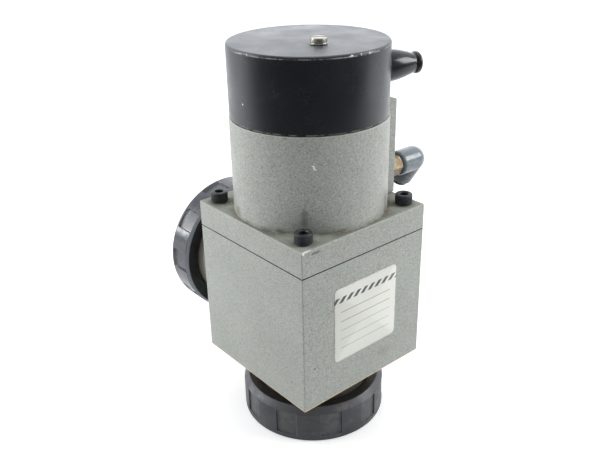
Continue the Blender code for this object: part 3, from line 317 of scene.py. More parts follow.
def make_fleck_effect():
    """Fine two-tone fleck of a hammered or stoved paint, and its orange-peel height."""
    tree, given, out = effect(
        "Paint flecks", [("Fleck Size", 0.0006), ("Contrast", 0.12)], ["Tone", "Height"]
    )
    scale = maths(tree, "DIVIDE", 1.0, given["Fleck Size"])
    place = own_place(tree)
    cells = add(tree, "ShaderNodeTexVoronoi", {"Vector": place, "Scale": scale})
    parts = add(tree, "ShaderNodeSeparateColor", {0: cells.outputs["Color"]})
    dark = ramp_between(tree, parts.outputs[0], 0.24, 0.10)
    light = ramp_between(tree, parts.outputs[1], 0.82, 0.95)
    small = mottle(tree, product(tree, scale, 0.9), 2.0, 0.6, place)
    even = ramp_between(tree, small, 0.3, 0.7, -0.6, 0.6)
    lean = maths(tree, "SUBTRACT", light, dark)
    both = maths(tree, "MULTIPLY_ADD", lean, 0.75, even)
    tone = maths(tree, "MULTIPLY_ADD", both, given["Contrast"], 1.0)
    tree.links.new(tone, out.inputs["Tone"])
    tree.links.new(maths(tree, "ADD", small, cells.outputs["Distance"]), out.inputs["Height"])
    return tree


def make_edge_effect():
    """Where an edge is rubbed, broken up along its length."""
    tree, given, out = effect(
        "Rubbed edges",
        [("Width", 0.0006), ("Broken Up", 0.5), ("Patch Size", 0.004)],
        ["Mask"],
    )
    soft = add(tree, "ShaderNodeBevel", {"Radius": given["Width"]}, samples=6)
    sharp = add(tree, "ShaderNodeNewGeometry").outputs["Normal"]
    apart = vector_maths(tree, "DOT_PRODUCT", soft.outputs[0], sharp)
    edge = ramp_between(tree, apart, 0.998, 0.93)
    scale = maths(tree, "DIVIDE", 1.0, given["Patch Size"])
    patches = mottle(tree, scale, 4.0, 0.6)
    low = product(tree, given["Broken Up"], 0.62)
    high = maths(tree, "ADD", low, 0.16)
    kept = ramp_between(tree, patches, low, high)
    tree.links.new(product(tree, edge, kept), out.inputs["Mask"])
    return tree


def make_spot_effect():
    """One mark at a place: a chip, stain or smudge with a ragged outline."""
    tree, given, out = effect(
        "Mark at a place",
        [
            ("Centre", (0.0, 0.0, 0.0)),
            ("Reach", (0.001, 0.001, 0.001)),
            ("Ragged", 0.4),
            ("Grain", 0.001),
            ("Softness", 0.3),
        ],
        ["Mask"],
    )
    place = own_place(tree)
    offset = vector_maths(tree, "SUBTRACT", place, given["Centre"])
    share = vector_maths(tree, "DIVIDE", offset, given["Reach"])
    far = vector_maths(tree, "LENGTH", share)
    scale = maths(tree, "DIVIDE", 1.0, given["Grain"])
    wobble = maths(tree, "SUBTRACT", mottle(tree, scale, 4.0, 0.6, place), 0.5)
    far = maths(tree, "MULTIPLY_ADD", wobble, product(tree, given["Ragged"], 3.0), far)
    start = maths(tree, "SUBTRACT", 1.0, given["Softness"])
    made = ramp_between(tree, far, 1.0, start)
    tree.links.new(made, out.inputs["Mask"])
    return tree


def make_dust_effect():
    """Dust that settles on what faces up, in clouds."""
    tree, given, out = effect(
        "Settled dust", [("Amount", 0.5), ("Cloud Size", 0.01), ("On Sides", 0.15)], ["Mask"]
    )
    facing = ramp_between(tree, facing_up(tree), 0.1, 0.9)
    facing = maths(tree, "MAXIMUM", facing, given["On Sides"])
    clouds = mottle(tree, maths(tree, "DIVIDE", 1.0, given["Cloud Size"]), 6.0, 0.62)
    clouds = ramp_between(tree, clouds, 0.3, 0.72)
    fine = mottle(tree, 2200.0, 2.0, 0.6)
    clouds = product(tree, clouds, ramp_between(tree, fine, 0.2, 0.65, 0.45, 1.0))
    tree.links.new(product(tree, facing, clouds, given["Amount"]), out.inputs["Mask"])
    return tree


def make_turning_effect():
    """Fine tool marks round a turned piece, on its sides and on its end faces."""
    tree, given, out = effect(
        "Turning marks",
        [("Centre", (0.0, 0.0, 0.0)), ("Along", (0.0, 0.0, 1.0)), ("Pitch", 0.0003)],
        ["Tone", "Height"],
    )
    place = own_place(tree)
    offset = vector_maths(tree, "SUBTRACT", place, given["Centre"])
    rise = vector_maths(tree, "DOT_PRODUCT", offset, given["Along"])
    whole = vector_maths(tree, "LENGTH", offset)
    square = maths(tree, "SUBTRACT", product(tree, whole, whole), product(tree, rise, rise))
    across = maths(tree, "SQRT", maths(tree, "MAXIMUM", square, 0.0))
    rows = add(tree, "ShaderNodeCombineXYZ", {0: rise, 1: across}).outputs[0]
    scale = maths(tree, "DIVIDE", 1.0, given["Pitch"])
    lines = mottle(tree, scale, 3.0, 0.65, rows)
    tree.links.new(ramp_between(tree, lines, 0.25, 0.75, 0.88, 1.1), out.inputs["Tone"])
    tree.links.new(lines, out.inputs["Height"])
    return tree


def make_scratch_effect():
    """Thin scuffs in one direction, long and broken."""
    tree, given, out = effect(
        "Scuffs", [("Spacing", 0.0012), ("Stretch", (1.0, 1.0, 12.0)), ("Amount", 0.5)], ["Mask"]
    )
    place = own_place(tree)
    bent = vector_maths(tree, "DIVIDE", place, given["Stretch"])
    scale = maths(tree, "DIVIDE", 1.0, given["Spacing"])
    lines = mottle(tree, scale, 2.0, 0.5, bent)
    thin = ramp_between(tree, maths(tree, "ABSOLUTE", maths(tree, "SUBTRACT", lines, 0.5)), 0.025, 0.0)
    places = cloudy(tree, 90.0, 3.0, 0.6, 0.5, 0.68)
    tree.links.new(product(tree, thin, places, given["Amount"]), out.inputs["Mask"])
    return tree


FLECKS = make_fleck_effect()
RUBBED_EDGES = make_edge_effect()
MARK = make_spot_effect()
SETTLED_DUST = make_dust_effect()
TURNING = make_turning_effect()
SCUFFS = make_scratch_effect()


def use(tree, shared, output, **values):
    """Places a shared effect in a material and gives one of its outputs."""
    made = tree.nodes.new("ShaderNodeGroup")
    made.node_tree = shared
    for name, value in values.items():
        socket = made.inputs[name.replace("_", " ")]
        if isinstance(value, bpy.types.NodeSocket):
            tree.links.new(value, socket)
        else:
            socket.default_value = value
    return made if output is None else made.outputs[output]


def new_finish(name, roughness, metallic=0.0, specular=0.5):
    """A material with its shader, ready for a colour, a roughness and a bump."""
    made = bpy.data.materials.new(name)
    made.use_nodes = True
    tree = made.node_tree
    shader = tree.nodes["Principled BSDF"]
    shader.inputs["Roughness"].default_value = roughness
    shader.inputs["Metallic"].default_value = metallic
    shader.inputs["Specular IOR Level"].default_value = specular
    return made, tree, shader


def apply_finish(tree, shader, colour, roughness, height, depth):
    """Joins a colour, a roughness and a bump of the given depth to the shader."""
    tree.links.new(colour, shader.inputs["Base Color"])
    tree.links.new(roughness, shader.inputs["Roughness"])
    bump = add(tree, "ShaderNodeBump", {"Height": height, "Distance": depth, "Strength": 1.0})
    tree.links.new(bump.outputs[0], shader.inputs["Normal"])


def scaled(tree, colour, tone):
    """A colour made lighter or darker by a tone round 1."""
    grey = add(tree, "ShaderNodeCombineColor", {0: tone, 1: tone, 2: tone}).outputs[0]
    return blend(tree, 1.0, colour, grey, "MULTIPLY")


def tinted(tree, colour, tint, *shares):
    """A colour with a tint laid over it, by the product of the shares."""
    return blend(tree, product(tree, *shares), colour, tint)


def marked(tree, colour, marks):
    """A colour with marks laid over it: (colour, share, place)."""
    for tint, share, place in marks:
        colour = tinted(tree, colour, tint, use(tree, MARK, "Mask", **place), share)
    return colour


def round_axis(tree):
    """Distance from the valve's axis, and height, in the piece's coordinates."""
    offset = vector_maths(tree, "SUBTRACT", own_place(tree), tuple(AXIS))
    parts = add(tree, "ShaderNodeSeparateXYZ", {0: offset}).outputs
    return parts, hypotenuse(tree, parts[0], parts[1])


def paint_base(tree, tint):
    """The grey-green flecked paint before wear and dirt."""
    wide = cloudy(tree, 28.0, 4.0, 0.55, 0.3, 0.7, 0.955, 1.045)
    flecks = use(tree, FLECKS, None, Fleck_Size=0.00062, Contrast=0.25)
    colour = scaled(tree, tint, wide)
    warm = cloudy(tree, 700.0, 2.0, 0.6, 0.42, 0.66)
    colour = tinted(tree, colour, (0.40, 0.385, 0.34), warm, 0.4)
    colour = scaled(tree, colour, flecks.outputs["Tone"])
    return colour, flecks.outputs["Height"]


def paint_finish(name, marks, tint=(0.368, 0.385, 0.348), grimy_top=False, worn_foot=False):
    """The valve's grey paint with rubbed edges, a dark joint and its own marks."""
    made, tree, shader = new_finish(name, 0.46, specular=0.4)
    colour, height = paint_base(tree, tint)
    parts, far = round_axis(tree)
    rise = parts[2]
    edges = use(tree, RUBBED_EDGES, "Mask", Width=0.0007, Broken_Up=0.3, Patch_Size=0.006)
    colour = tinted(tree, colour, (0.68, 0.665, 0.58), edges, 0.6)
    clouds = mottle(tree, 230.0, 6.0, 0.65)
    if worn_foot:
        low = ramp_between(tree, rise, block_low.z + 0.95 * MM, block_low.z + 0.65 * MM)
        broken = cloudy(tree, 160.0, 4.0, 0.6, 0.30, 0.55, 0.45, 1.0)
        colour = tinted(tree, colour, (0.86, 0.64, 0.34), low, broken)
    if grimy_top:
        upward = facing_up(tree)
        level = ramp_between(tree, rise, PLATE_TOP + 3 * MM, PLATE_TOP + 1 * MM)
        top = product(tree, ramp_between(tree, upward, 0.75, 0.97), level)
        worn_top = ramp_between(tree, rise, PLATE_TOP - 1.2 * MM, PLATE_TOP - 0.4 * MM)
        line = use(tree, RUBBED_EDGES, "Mask", Width=0.0009, Broken_Up=0.15, Patch_Size=0.010)
        colour = tinted(tree, colour, (0.74, 0.73, 0.66), worn_top, level, line, 0.7)
        film = ramp_between(tree, clouds, 0.25, 0.70, 0.45, 1.0)
        fine = cloudy(tree, 900.0, 3.0, 0.6, 0.30, 0.65, 0.7, 1.0)
        colour = tinted(tree, colour, (0.30, 0.314, 0.258), top, film, fine)
        ring = ramp_between(tree, far, CYLINDER_R + 5.5 * MM, CYLINDER_R + 0.4 * MM)
        ring = product(tree, ring, top, ramp_between(tree, clouds, 0.30, 0.62), 0.45)
        colour = tinted(tree, colour, (0.115, 0.112, 0.082), ring)
        patches = cloudy(tree, 110.0, 4.0, 0.6, 0.48, 0.62)
        low = ramp_between(tree, rise, PLATE_TOP + 2.0 * MM, PLATE_TOP + 0.1 * MM)
        near = ramp_between(tree, far, CYLINDER_R + 1.8 * MM, CYLINDER_R + 0.5 * MM)
        colour = tinted(tree, colour, (0.15, 0.14, 0.105), low, near, patches, 0.5)
        dx = maths(tree, "SUBTRACT", maths(tree, "ABSOLUTE", parts[0]), BONNET_SCREW_FROM_AXIS)
        dy = maths(tree, "SUBTRACT", maths(tree, "ABSOLUTE", parts[1]), BONNET_SCREW_FROM_AXIS)
        from_screw = hypotenuse(tree, dx, dy)
        halo = ramp_between(tree, from_screw, 7.0 * MM, 4.3 * MM)
        halo = product(tree, halo, top, ramp_between(tree, clouds, 0.30, 0.65, 0.15, 0.55))
        colour = tinted(tree, colour, (0.11, 0.108, 0.082), halo)
    colour = marked(tree, colour, marks)
    from_joint = maths(tree, "ABSOLUTE", maths(tree, "SUBTRACT", rise, block_high.z + GAP / 2))
    joint = ramp_between(tree, from_joint, 0.42 * MM, 0.22 * MM, 0.0, 0.95)
    colour = tinted(tree, colour, (0.012, 0.012, 0.010), joint)
    gloss = cloudy(tree, 120.0, 4.0, 0.6, 0.3, 0.7, 0.40, 0.54)
    if grimy_top:
        gloss = maths(tree, "MULTIPLY_ADD", top, 0.3, gloss)
        tree.links.new(maths(tree, "MULTIPLY_ADD", top, -0.32, 0.4), shader.inputs["Specular IOR Level"])
    apply_finish(tree, shader, colour, gloss, height, 0.00004)
    return made


def on_cylinder(angle, z, radius=CYLINDER_R):
    """A point on the cylinder, by its angle seen from above."""
    return (AXIS.x + radius * cos(angle), AXIS.y + radius * sin(angle), z)


def mark_place(centre, reach, ragged=0.5, grain=3.0, softness=0.8):
    """Where a mark lies and how ragged it is, with its reach and grain in millimetres."""
    values = dict(Centre=tuple(centre), Reach=tuple(value * MM for value in reach))
    values.update(Ragged=ragged, Grain=grain * MM, Softness=softness)
    return values


def mark(tint, share, *place):
    """One mark in a finish: its colour, its strength and its place."""
    return tint, share, mark_place(*place)


PALE_CHIP = (0.84, 0.83, 0.78)
BROWN_STAIN = (0.21, 0.15, 0.115)
DARK_SMUDGE = (0.105, 0.10, 0.092)
DARK_FILM = (0.105, 0.108, 0.08)


def bonnet_marks():
    """The chip on the cylinder, the stains at its foot and the marks by the plate's front corner."""
    made = []
    for angle, rise, reach in (
        (-38.8, 33.2, (0.8, 0.8, 0.34)),
        (-38.1, 32.4, (0.45, 0.45, 0.8)),
        (-37.3, 31.6, (0.75, 0.75, 0.34)),
    ):
        spot = on_cylinder(radians(angle), PLATE_TOP + rise * MM)
        made.append(mark(PALE_CHIP, 1.0, spot, reach, 0.35, 0.7, 0.25))
    for tint, share, angle, rise, reach in (
        (DARK_SMUDGE, 0.50, -45.3, 8.8, (2.8, 2.8, 6.0)),
        (BROWN_STAIN, 0.60, -106.7, 3.4, (3.6, 4.6, 4.2)),
        (BROWN_STAIN, 0.55, 28.7, 5.2, (2.4, 3.2, 8.0)),
        (BROWN_STAIN, 0.70, 29.5, 0.6, (3.4, 4.2, 2.4)),
        (DARK_SMUDGE, 0.55, -62.0, 0.8, (4.0, 3.0, 1.6)),
        (BROWN_STAIN, 0.55, -20.0, 0.6, (3.0, 5.0, 1.4)),
    ):
        made.append(mark(tint, share, on_cylinder(radians(angle), PLATE_TOP + rise * MM), reach))
    for share, east, north, reach in (
        (0.60, -31.5, -34.0, (10.0, 7.5, 1.6)),
        (0.40, 14.5, -38.0, (9.0, 3.0, 1.4)),
        (0.30, 28.8, -28.8, (5.0, 5.0, 1.4)),
        (0.35, 38.0, -14.5, (3.0, 9.0, 1.4)),
        (0.35, 37.5, 16.5, (3.0, 9.0, 1.4)),
    ):
        spot = AXIS + Vector((east * MM, north * MM, PLATE_TOP))
        made.append(mark(DARK_FILM, share, spot, reach, 0.4, 1.3, 0.8))
    right, front = AXIS.x + BLOCK_HALF, AXIS.y - BLOCK_HALF
    for tint, share, along, below, reach, ragged, grain, softness in (
        (PALE_CHIP, 1.0, 0.9, 0.9, (0.6, 0.8, 0.6), 0.4, 0.8, 0.3),
        (PALE_CHIP, 0.9, 3.0, 0.25, (0.9, 3.6, 0.45), 0.5, 1.2, 0.4),
        (DARK_SMUDGE, 0.8, 8.2, 2.3, (1.0, 3.6, 0.9), 0.4, 1.5, 0.7),
    ):
        spot = (right, front + along * MM, PLATE_TOP - below * MM)
        made.append(mark(tint, share, spot, reach, ragged, grain, softness))
    return made


def block_marks():
    """A dark spot and a brown smudge low on the face that carries the label."""
    right = AXIS.x + BLOCK_HALF
    spot = (right, AXIS.y - 33.2 * MM, 55.6 * MM)
    smudge = (right, AXIS.y + 13.4 * MM, 44.9 * MM)
    return [
        mark((0.09, 0.082, 0.075), 0.85, spot, (1.0, 0.75, 0.65), 0.4, 0.8, 0.4),
        mark((0.27, 0.215, 0.165), 0.55, smudge, (1.0, 8.5, 3.4), 0.7, 3.0, 0.9),
    ]


def cover_marks():
    """A pale speck on the cover's side and three smudges on its top."""
    speck = on_cylinder(radians(-91), 176.9 * MM, COVER_R)
    made = [mark((0.75, 0.76, 0.76), 1, speck, (0.5, 0.45, 0.5), 0.3, 0.6, 0.4)]
    for share, east, north, reach in (
        (0.16, 7.5, -10.5, (5.0, 3.0, 1.0)),
        (0.14, 17.0, 1.5, (3.0, 3.0, 1.0)),
        (0.22, 15.0, -7.5, (2.4, 2.4, 1.0)),
    ):
        spot = AXIS + Vector((east * MM, north * MM, cover_high.z))
        made.append(mark((0.34, 0.31, 0.27), share, spot, reach, 0.6, 1.6, 0.9))
    return made


def black_paint_finish():
    """The cover's black paint: smudged and bloomed on top, with pale dust that is partly a painted sheen,
    and a painted highlight along the upper edge.
    """
    made, tree, shader = new_finish("black_cover_paint", 0.3, specular=0.5)
    parts, far = round_axis(tree)
    rise = parts[2]
    wide = cloudy(tree, 40.0, 4.0, 0.55, 0.3, 0.7, 0.8, 1.25)
    colour = scaled(tree, (0.0088, 0.0093, 0.0128), wide)
    # Dust on the cover's top; its pale bluish tint is partly a painted sheen of the bright room.
    dust = use(tree, SETTLED_DUST, "Mask", Amount=0.95, Cloud_Size=0.02, On_Sides=0.015)
    colour = tinted(tree, colour, (0.50, 0.52, 0.56), dust, 0.20)
    corner = product(
        tree,
        ramp_between(tree, rise, cover_high.z - 1.5 * MM, cover_high.z - 1.1 * MM),
        ramp_between(tree, rise, cover_high.z - 0.25 * MM, cover_high.z - 0.5 * MM),
        ramp_between(tree, far, COVER_R - 1.3 * MM, COVER_R - 0.6 * MM),
    )
    # Painted highlight: a pale, broken line along the rounded upper edge.
    from_highlight_line = maths(tree, "ABSOLUTE", maths(tree, "SUBTRACT", rise, cover_high.z - 1.15 * MM))
    line = product(
        tree,
        ramp_between(tree, from_highlight_line, 0.32 * MM, 0.14 * MM),
        ramp_between(tree, far, COVER_R - 1.3 * MM, COVER_R - 0.6 * MM),
    )
    broken = cloudy(tree, 150.0, 5.0, 0.65, 0.42, 0.56, 0.15, 1.0)
    colour = tinted(tree, colour, (0.62, 0.64, 0.67), line, broken, 0.42)
    chips = cloudy(tree, 520.0, 5.0, 0.62, 0.53, 0.58)
    front = mark_place(on_cylinder(radians(-5), cover_high.z, COVER_R), (6, 9, 4), 0.2, 6, 0.6)
    front = use(tree, MARK, "Mask", **front)
    spread = cloudy(tree, 600.0, 5.0, 0.6, 0.66, 0.70, 0.0, 0.8)
    chips = maths(tree, "MAXIMUM", product(tree, chips, front), spread)
    colour = tinted(tree, colour, (0.82, 0.82, 0.80), corner, chips)
    foot = ramp_between(tree, rise, cover_low.z + 0.8 * MM, cover_low.z + 0.1 * MM)
    ragged = cloudy(tree, 260.0, 5.0, 0.6, 0.44, 0.56)
    colour = tinted(tree, colour, (0.27, 0.25, 0.19), foot, ragged, 0.75)
    colour = marked(tree, colour, cover_marks())
    scuffs = use(tree, SCUFFS, "Mask", Spacing=0.0016, Stretch=(7.0, 1.0, 1.0), Amount=0.5)
    colour = tinted(tree, colour, (0.5, 0.5, 0.5), scuffs, 0.10)
    gloss = cloudy(tree, 60.0, 5.0, 0.6, 0.3, 0.7, 0.24, 0.34)
    gloss = maths(tree, "MULTIPLY_ADD", dust, 0.16, gloss)
    apply_finish(tree, shader, colour, gloss, mottle(tree, 700.0, 3.0, 0.55), 0.000008)
    return made


def moulding_finish(name, line, tint, gloss_low, gloss_high, bevel_sheen_tint, bloom, marks=()):
    """Black moulded plastic of the ring nuts: greyed by handling and dust, with painted shade in the
    recess walls, on the back face and inside, and a painted sheen on the bevel.
    """
    made, tree, shader = new_finish(name, gloss_low, specular=0.5)
    outside = stored(tree, "outside")
    hollow = stored(tree, "recess")
    bevel_sheen = stored(tree, "bevel_sheen")
    wide = cloudy(tree, 55.0, 5.0, 0.6, 0.28, 0.72, 0.7, 1.4)
    colour = scaled(tree, tint, wide)
    turning = use(tree, TURNING, None, Pitch=0.0009, **line)
    colour = scaled(tree, colour, turning.outputs["Tone"])
    dust = use(tree, SETTLED_DUST, "Mask", Amount=0.8, Cloud_Size=0.007, On_Sides=0.5)
    dust = product(tree, dust, outside)
    colour = tinted(tree, colour, (0.34, 0.34, 0.33), dust, 0.09)
    # Painted sheen: the bevel is lightened where the eased rim would catch the light.
    colour = tinted(tree, colour, bevel_sheen_tint, bevel_sheen, 0.85)
    grey = cloudy(tree, 300.0, 4.0, 0.6, 0.35, 0.65, 0.3, 1.0)
    grey = product(tree, hollow, grey)
    colour = tinted(tree, colour, (0.36, 0.37, 0.31), grey, bloom)
    # Painted shade: the recess walls are darkened almost to black.
    wall = stored(tree, "wall")
    colour = tinted(tree, colour, (0.004, 0.004, 0.004), wall, 0.9)
    edges = use(tree, RUBBED_EDGES, "Mask", Width=0.0006, Broken_Up=0.5, Patch_Size=0.004)
    edges = product(tree, edges, outside)
    colour = tinted(tree, colour, (0.40, 0.42, 0.46), edges, 0.20)
    scuffs = use(tree, SCUFFS, "Mask", Spacing=0.0014, Stretch=(5.0, 5.0, 1.0), Amount=0.6)
    colour = tinted(tree, colour, (0.42, 0.42, 0.40), scuffs, outside, 0.3)
    colour = marked(tree, colour, marks)
    # Painted shade: the back face and the inside are darkened to a third.
    colour = scaled(tree, colour, ramp_between(tree, outside, 0.0, 1.0, 0.3, 1.0))
    gloss = cloudy(tree, 140.0, 5.0, 0.62, 0.3, 0.7, gloss_low, gloss_high)
    gloss = maths(tree, "MULTIPLY_ADD", dust, 0.2, gloss)
    height = maths(tree, "ADD", mottle(tree, 900.0, 3.0, 0.6), turning.outputs["Height"])
    apply_finish(tree, shader, colour, gloss, height, 0.000015)
    return made


def turned_metal_finish(name, tint, roughness, line, metallic=1.0):
    """Machined metal with tool marks, a slight tarnish and dirt in clouds."""
    made, tree, shader = new_finish(name, roughness, metallic)
    turning = use(tree, TURNING, None, Pitch=0.0003, **line)
    colour = scaled(tree, tint, turning.outputs["Tone"])
    clouds = cloudy(tree, 130.0, 5.0, 0.62, 0.42, 0.7)
    shaded = tuple(value * 0.45 for value in tint)
    colour = tinted(tree, colour, shaded, clouds, 0.25)
    gloss = cloudy(tree, 420.0, 4.0, 0.6, 0.3, 0.7, roughness - 0.07, roughness + 0.12)
    apply_finish(tree, shader, colour, gloss, turning.outputs["Height"], 0.00002)
    return made


def plain_metal_finish(name, tint, roughness, metallic=1.0, dirt=0.3):
    """Plated or plain metal that isn't turned, a little tarnished."""
    made, tree, shader = new_finish(name, roughness, metallic)
    tone = cloudy(tree, 600.0, 4.0, 0.6, 0.3, 0.7, 0.85, 1.12)
    colour = scaled(tree, tint, tone)
    clouds = cloudy(tree, 240.0, 5.0, 0.62, 0.45, 0.68)
    shaded = tuple(value * 0.35 for value in tint)
    colour = tinted(tree, colour, shaded, clouds, dirt)
    edges = use(tree, RUBBED_EDGES, "Mask", Width=0.0004, Broken_Up=0.4, Patch_Size=0.002)
    bright = tuple(min(1.0, value * 1.25) for value in tint)
    colour = tinted(tree, colour, bright, edges, 0.6)
    gloss = cloudy(tree, 600.0, 4.0, 0.6, 0.3, 0.7, roughness - 0.06, roughness + 0.14)
    apply_finish(tree, shader, colour, gloss, mottle(tree, 1200.0, 3.0, 0.6), 0.000012)
    return made


def black_screw_finish():
    """Blackened steel of the cap screws, grey on the crests of the knurl and dusty."""
    made, tree, shader = new_finish("black_screw_steel", 0.45, 0.35)
    tone = cloudy(tree, 900.0, 4.0, 0.6, 0.3, 0.7, 0.7, 1.4)
    colour = scaled(tree, (0.032, 0.032, 0.036), tone)
    edges = use(tree, RUBBED_EDGES, "Mask", Width=0.0003, Broken_Up=0.4, Patch_Size=0.0012)
    colour = tinted(tree, colour, (0.20, 0.20, 0.21), edges, 0.4)
    dust = use(tree, SETTLED_DUST, "Mask", Amount=0.8, Cloud_Size=0.003, On_Sides=0.25)
    colour = tinted(tree, colour, (0.27, 0.26, 0.24), dust, 0.16)
    gloss = cloudy(tree, 800.0, 4.0, 0.6, 0.3, 0.7, 0.38, 0.58)
    apply_finish(tree, shader, colour, gloss, mottle(tree, 1800.0, 3.0, 0.6), 0.00002)
    return made


def rubber_finish(name, tint, gloss_low, gloss_high, dust_share, marks=()):
    """Moulded rubber with a soft bloom, and its own marks where it has some."""
    made, tree, shader = new_finish(name, gloss_low, specular=0.5)
    tone = cloudy(tree, 160.0, 4.0, 0.55, 0.3, 0.7, 0.85, 1.2)
    colour = scaled(tree, tint, tone)
    dust = use(tree, SETTLED_DUST, "Mask", Amount=0.9, Cloud_Size=0.004, On_Sides=0.3)
    colour = tinted(tree, colour, (0.32, 0.30, 0.27), dust, dust_share)
    colour = marked(tree, colour, marks)
    gloss = cloudy(tree, 350.0, 4.0, 0.6, 0.3, 0.7, gloss_low, gloss_high)
    gloss = maths(tree, "MULTIPLY_ADD", dust, 0.15, gloss)
    apply_finish(tree, shader, colour, gloss, mottle(tree, 500.0, 3.0, 0.5), 0.00001)
    return made


def elbow_finish():
    """Shiny grey-blue plastic of the air elbow, streaked, with painted shade making it darker low down."""
    made, tree, shader = new_finish("grey_blue_moulding", 0.2, specular=0.6)
    rise = add(tree, "ShaderNodeSeparateXYZ", {0: own_place(tree)}).outputs["Z"]
    # Painted shade: the plastic is darkened towards the leg's lower end.
    shaded_low_down = ramp_between(tree, rise, FITTING_Z - 8 * MM, FITTING_Z + 1 * MM, 0.34, 1.0)
    tone = cloudy(tree, 260.0, 5.0, 0.6, 0.3, 0.7, 0.85, 1.15)
    tone = product(tree, tone, shaded_low_down)
    colour = scaled(tree, (0.182, 0.214, 0.232), tone)
    streaks = ramp_between(tree, mottle(tree, 900.0, 3.0, 0.6, stretch=(1.0, 0.12, 1.0)), 0.5, 0.68)
    colour = tinted(tree, colour, (0.50, 0.53, 0.55), streaks, 0.16)
    edges = use(tree, RUBBED_EDGES, "Mask", Width=0.0005, Broken_Up=0.35, Patch_Size=0.003)
    colour = tinted(tree, colour, (0.60, 0.62, 0.62), edges, 0.4)
    gloss = cloudy(tree, 400.0, 4.0, 0.6, 0.3, 0.7, 0.13, 0.28)
    apply_finish(tree, shader, colour, gloss, mottle(tree, 420.0, 3.0, 0.5), 0.000005)
    return made


def speckled_plastic_finish(name, tint, roughness, dust_share=0.15):
    """Plain moulded plastic or resin with a fine grain and a little dust."""
    made, tree, shader = new_finish(name, roughness, specular=0.5)
    flecks = use(tree, FLECKS, None, Fleck_Size=0.0005, Contrast=0.1)
    colour = scaled(tree, tint, flecks.outputs["Tone"])
    dust = use(tree, SETTLED_DUST, "Mask", Amount=0.8, Cloud_Size=0.006, On_Sides=0.2)
    colour = tinted(tree, colour, (0.35, 0.34, 0.31), dust, dust_share)
    gloss = cloudy(tree, 500.0, 4.0, 0.6, 0.3, 0.7, roughness - 0.06, roughness + 0.1)
    apply_finish(tree, shader, colour, gloss, flecks.outputs["Height"], 0.00002)
    return made


def label_finish():
    """Cream label film: a plain hatched band near the top and blank ruled lines below it."""
    made, tree, shader = new_finish("cream_label_film", 0.38, specular=0.45)
    aged = cloudy(tree, 70.0, 5.0, 0.6, 0.3, 0.75)
    colour = blend(tree, product(tree, aged, 0.35), (0.765, 0.765, 0.695), (0.71, 0.695, 0.60))
    place = own_place(tree)
    parts = add(tree, "ShaderNodeSeparateXYZ", {0: place}).outputs
    across = maths(tree, "SUBTRACT", parts[1], label_low.y)
    down = maths(tree, "SUBTRACT", label_high.z, parts[2])
    fine = mottle(tree, 1600.0, 3.0, 0.6)
    ink_break = ramp_between(tree, fine, 0.22, 0.45, 0.55, 1.0)

    def stripe(value, middle, half, soft=0.00007):
        distance = maths(tree, "ABSOLUTE", maths(tree, "SUBTRACT", value, middle))
        return ramp_between(tree, distance, half + soft, half - soft)

    slant = maths(tree, "MULTIPLY_ADD", down, 1.0, across)
    bars = maths(tree, "FRACT", maths(tree, "DIVIDE", slant, 4.7 * MM))
    bar = ramp_between(tree, maths(tree, "ABSOLUTE", maths(tree, "SUBTRACT", bars, 0.5)), 0.28, 0.245)
    band = product(tree, stripe(down, 6.4 * MM, 1.5 * MM), bar)
    ink = product(tree, band, 0.92)
    inside = product(
        tree,
        ramp_between(tree, across, 4.0 * MM, 4.2 * MM),
        ramp_between(tree, across, 37.4 * MM, 37.2 * MM),
    )
    for row, strength in ((13.2, 0.75), (18.4, 0.75), (23.4, 0.5), (28.4, 0.5), (33.4, 0.5)):
        rule = product(tree, stripe(down, row * MM, 0.16 * MM), inside)
        ink = maths(tree, "MAXIMUM", ink, product(tree, rule, strength))
    ink = product(tree, ink, ink_break)
    colour = tinted(tree, colour, (0.035, 0.037, 0.045), ink)
    width, height = label_high.y - label_low.y, label_high.z - label_low.z
    from_side = maths(tree, "MINIMUM", across, maths(tree, "SUBTRACT", width, across))
    from_end = maths(tree, "MINIMUM", down, maths(tree, "SUBTRACT", height, down))
    edge = maths(tree, "MINIMUM", from_side, from_end)
    dirt = product(tree, ramp_between(tree, edge, 1.1 * MM, 0.0), cloudy(tree, 500.0, 4.0, 0.6, 0.4, 0.62))
    colour = tinted(tree, colour, (0.42, 0.36, 0.25), dirt, 0.35)
    gloss = cloudy(tree, 300.0, 4.0, 0.6, 0.3, 0.7, 0.32, 0.46)
    apply_finish(tree, shader, colour, gloss, mottle(tree, 350.0, 4.0, 0.6), 0.00003)
    return made


# Lines that turned pieces are round: a point on each and its direction
UPRIGHT = dict(Centre=tuple(AXIS), Along=(0.0, 0.0, 1.0))
SIDEWAYS = dict(Centre=(AXIS.x, AXIS.y, PORT_Z), Along=(1.0, 0.0, 0.0))
BOOT_END = AXIS + Vector((cos(BOOT_AZIMUTH), sin(BOOT_AZIMUTH), 0)) * 56.0 * MM

BODY_PAINT = paint_finish("grey_block_paint", block_marks(), worn_foot=True)
BONNET_PAINT = paint_finish("grey_bonnet_paint", bonnet_marks(), (0.366, 0.375, 0.340), grimy_top=True)
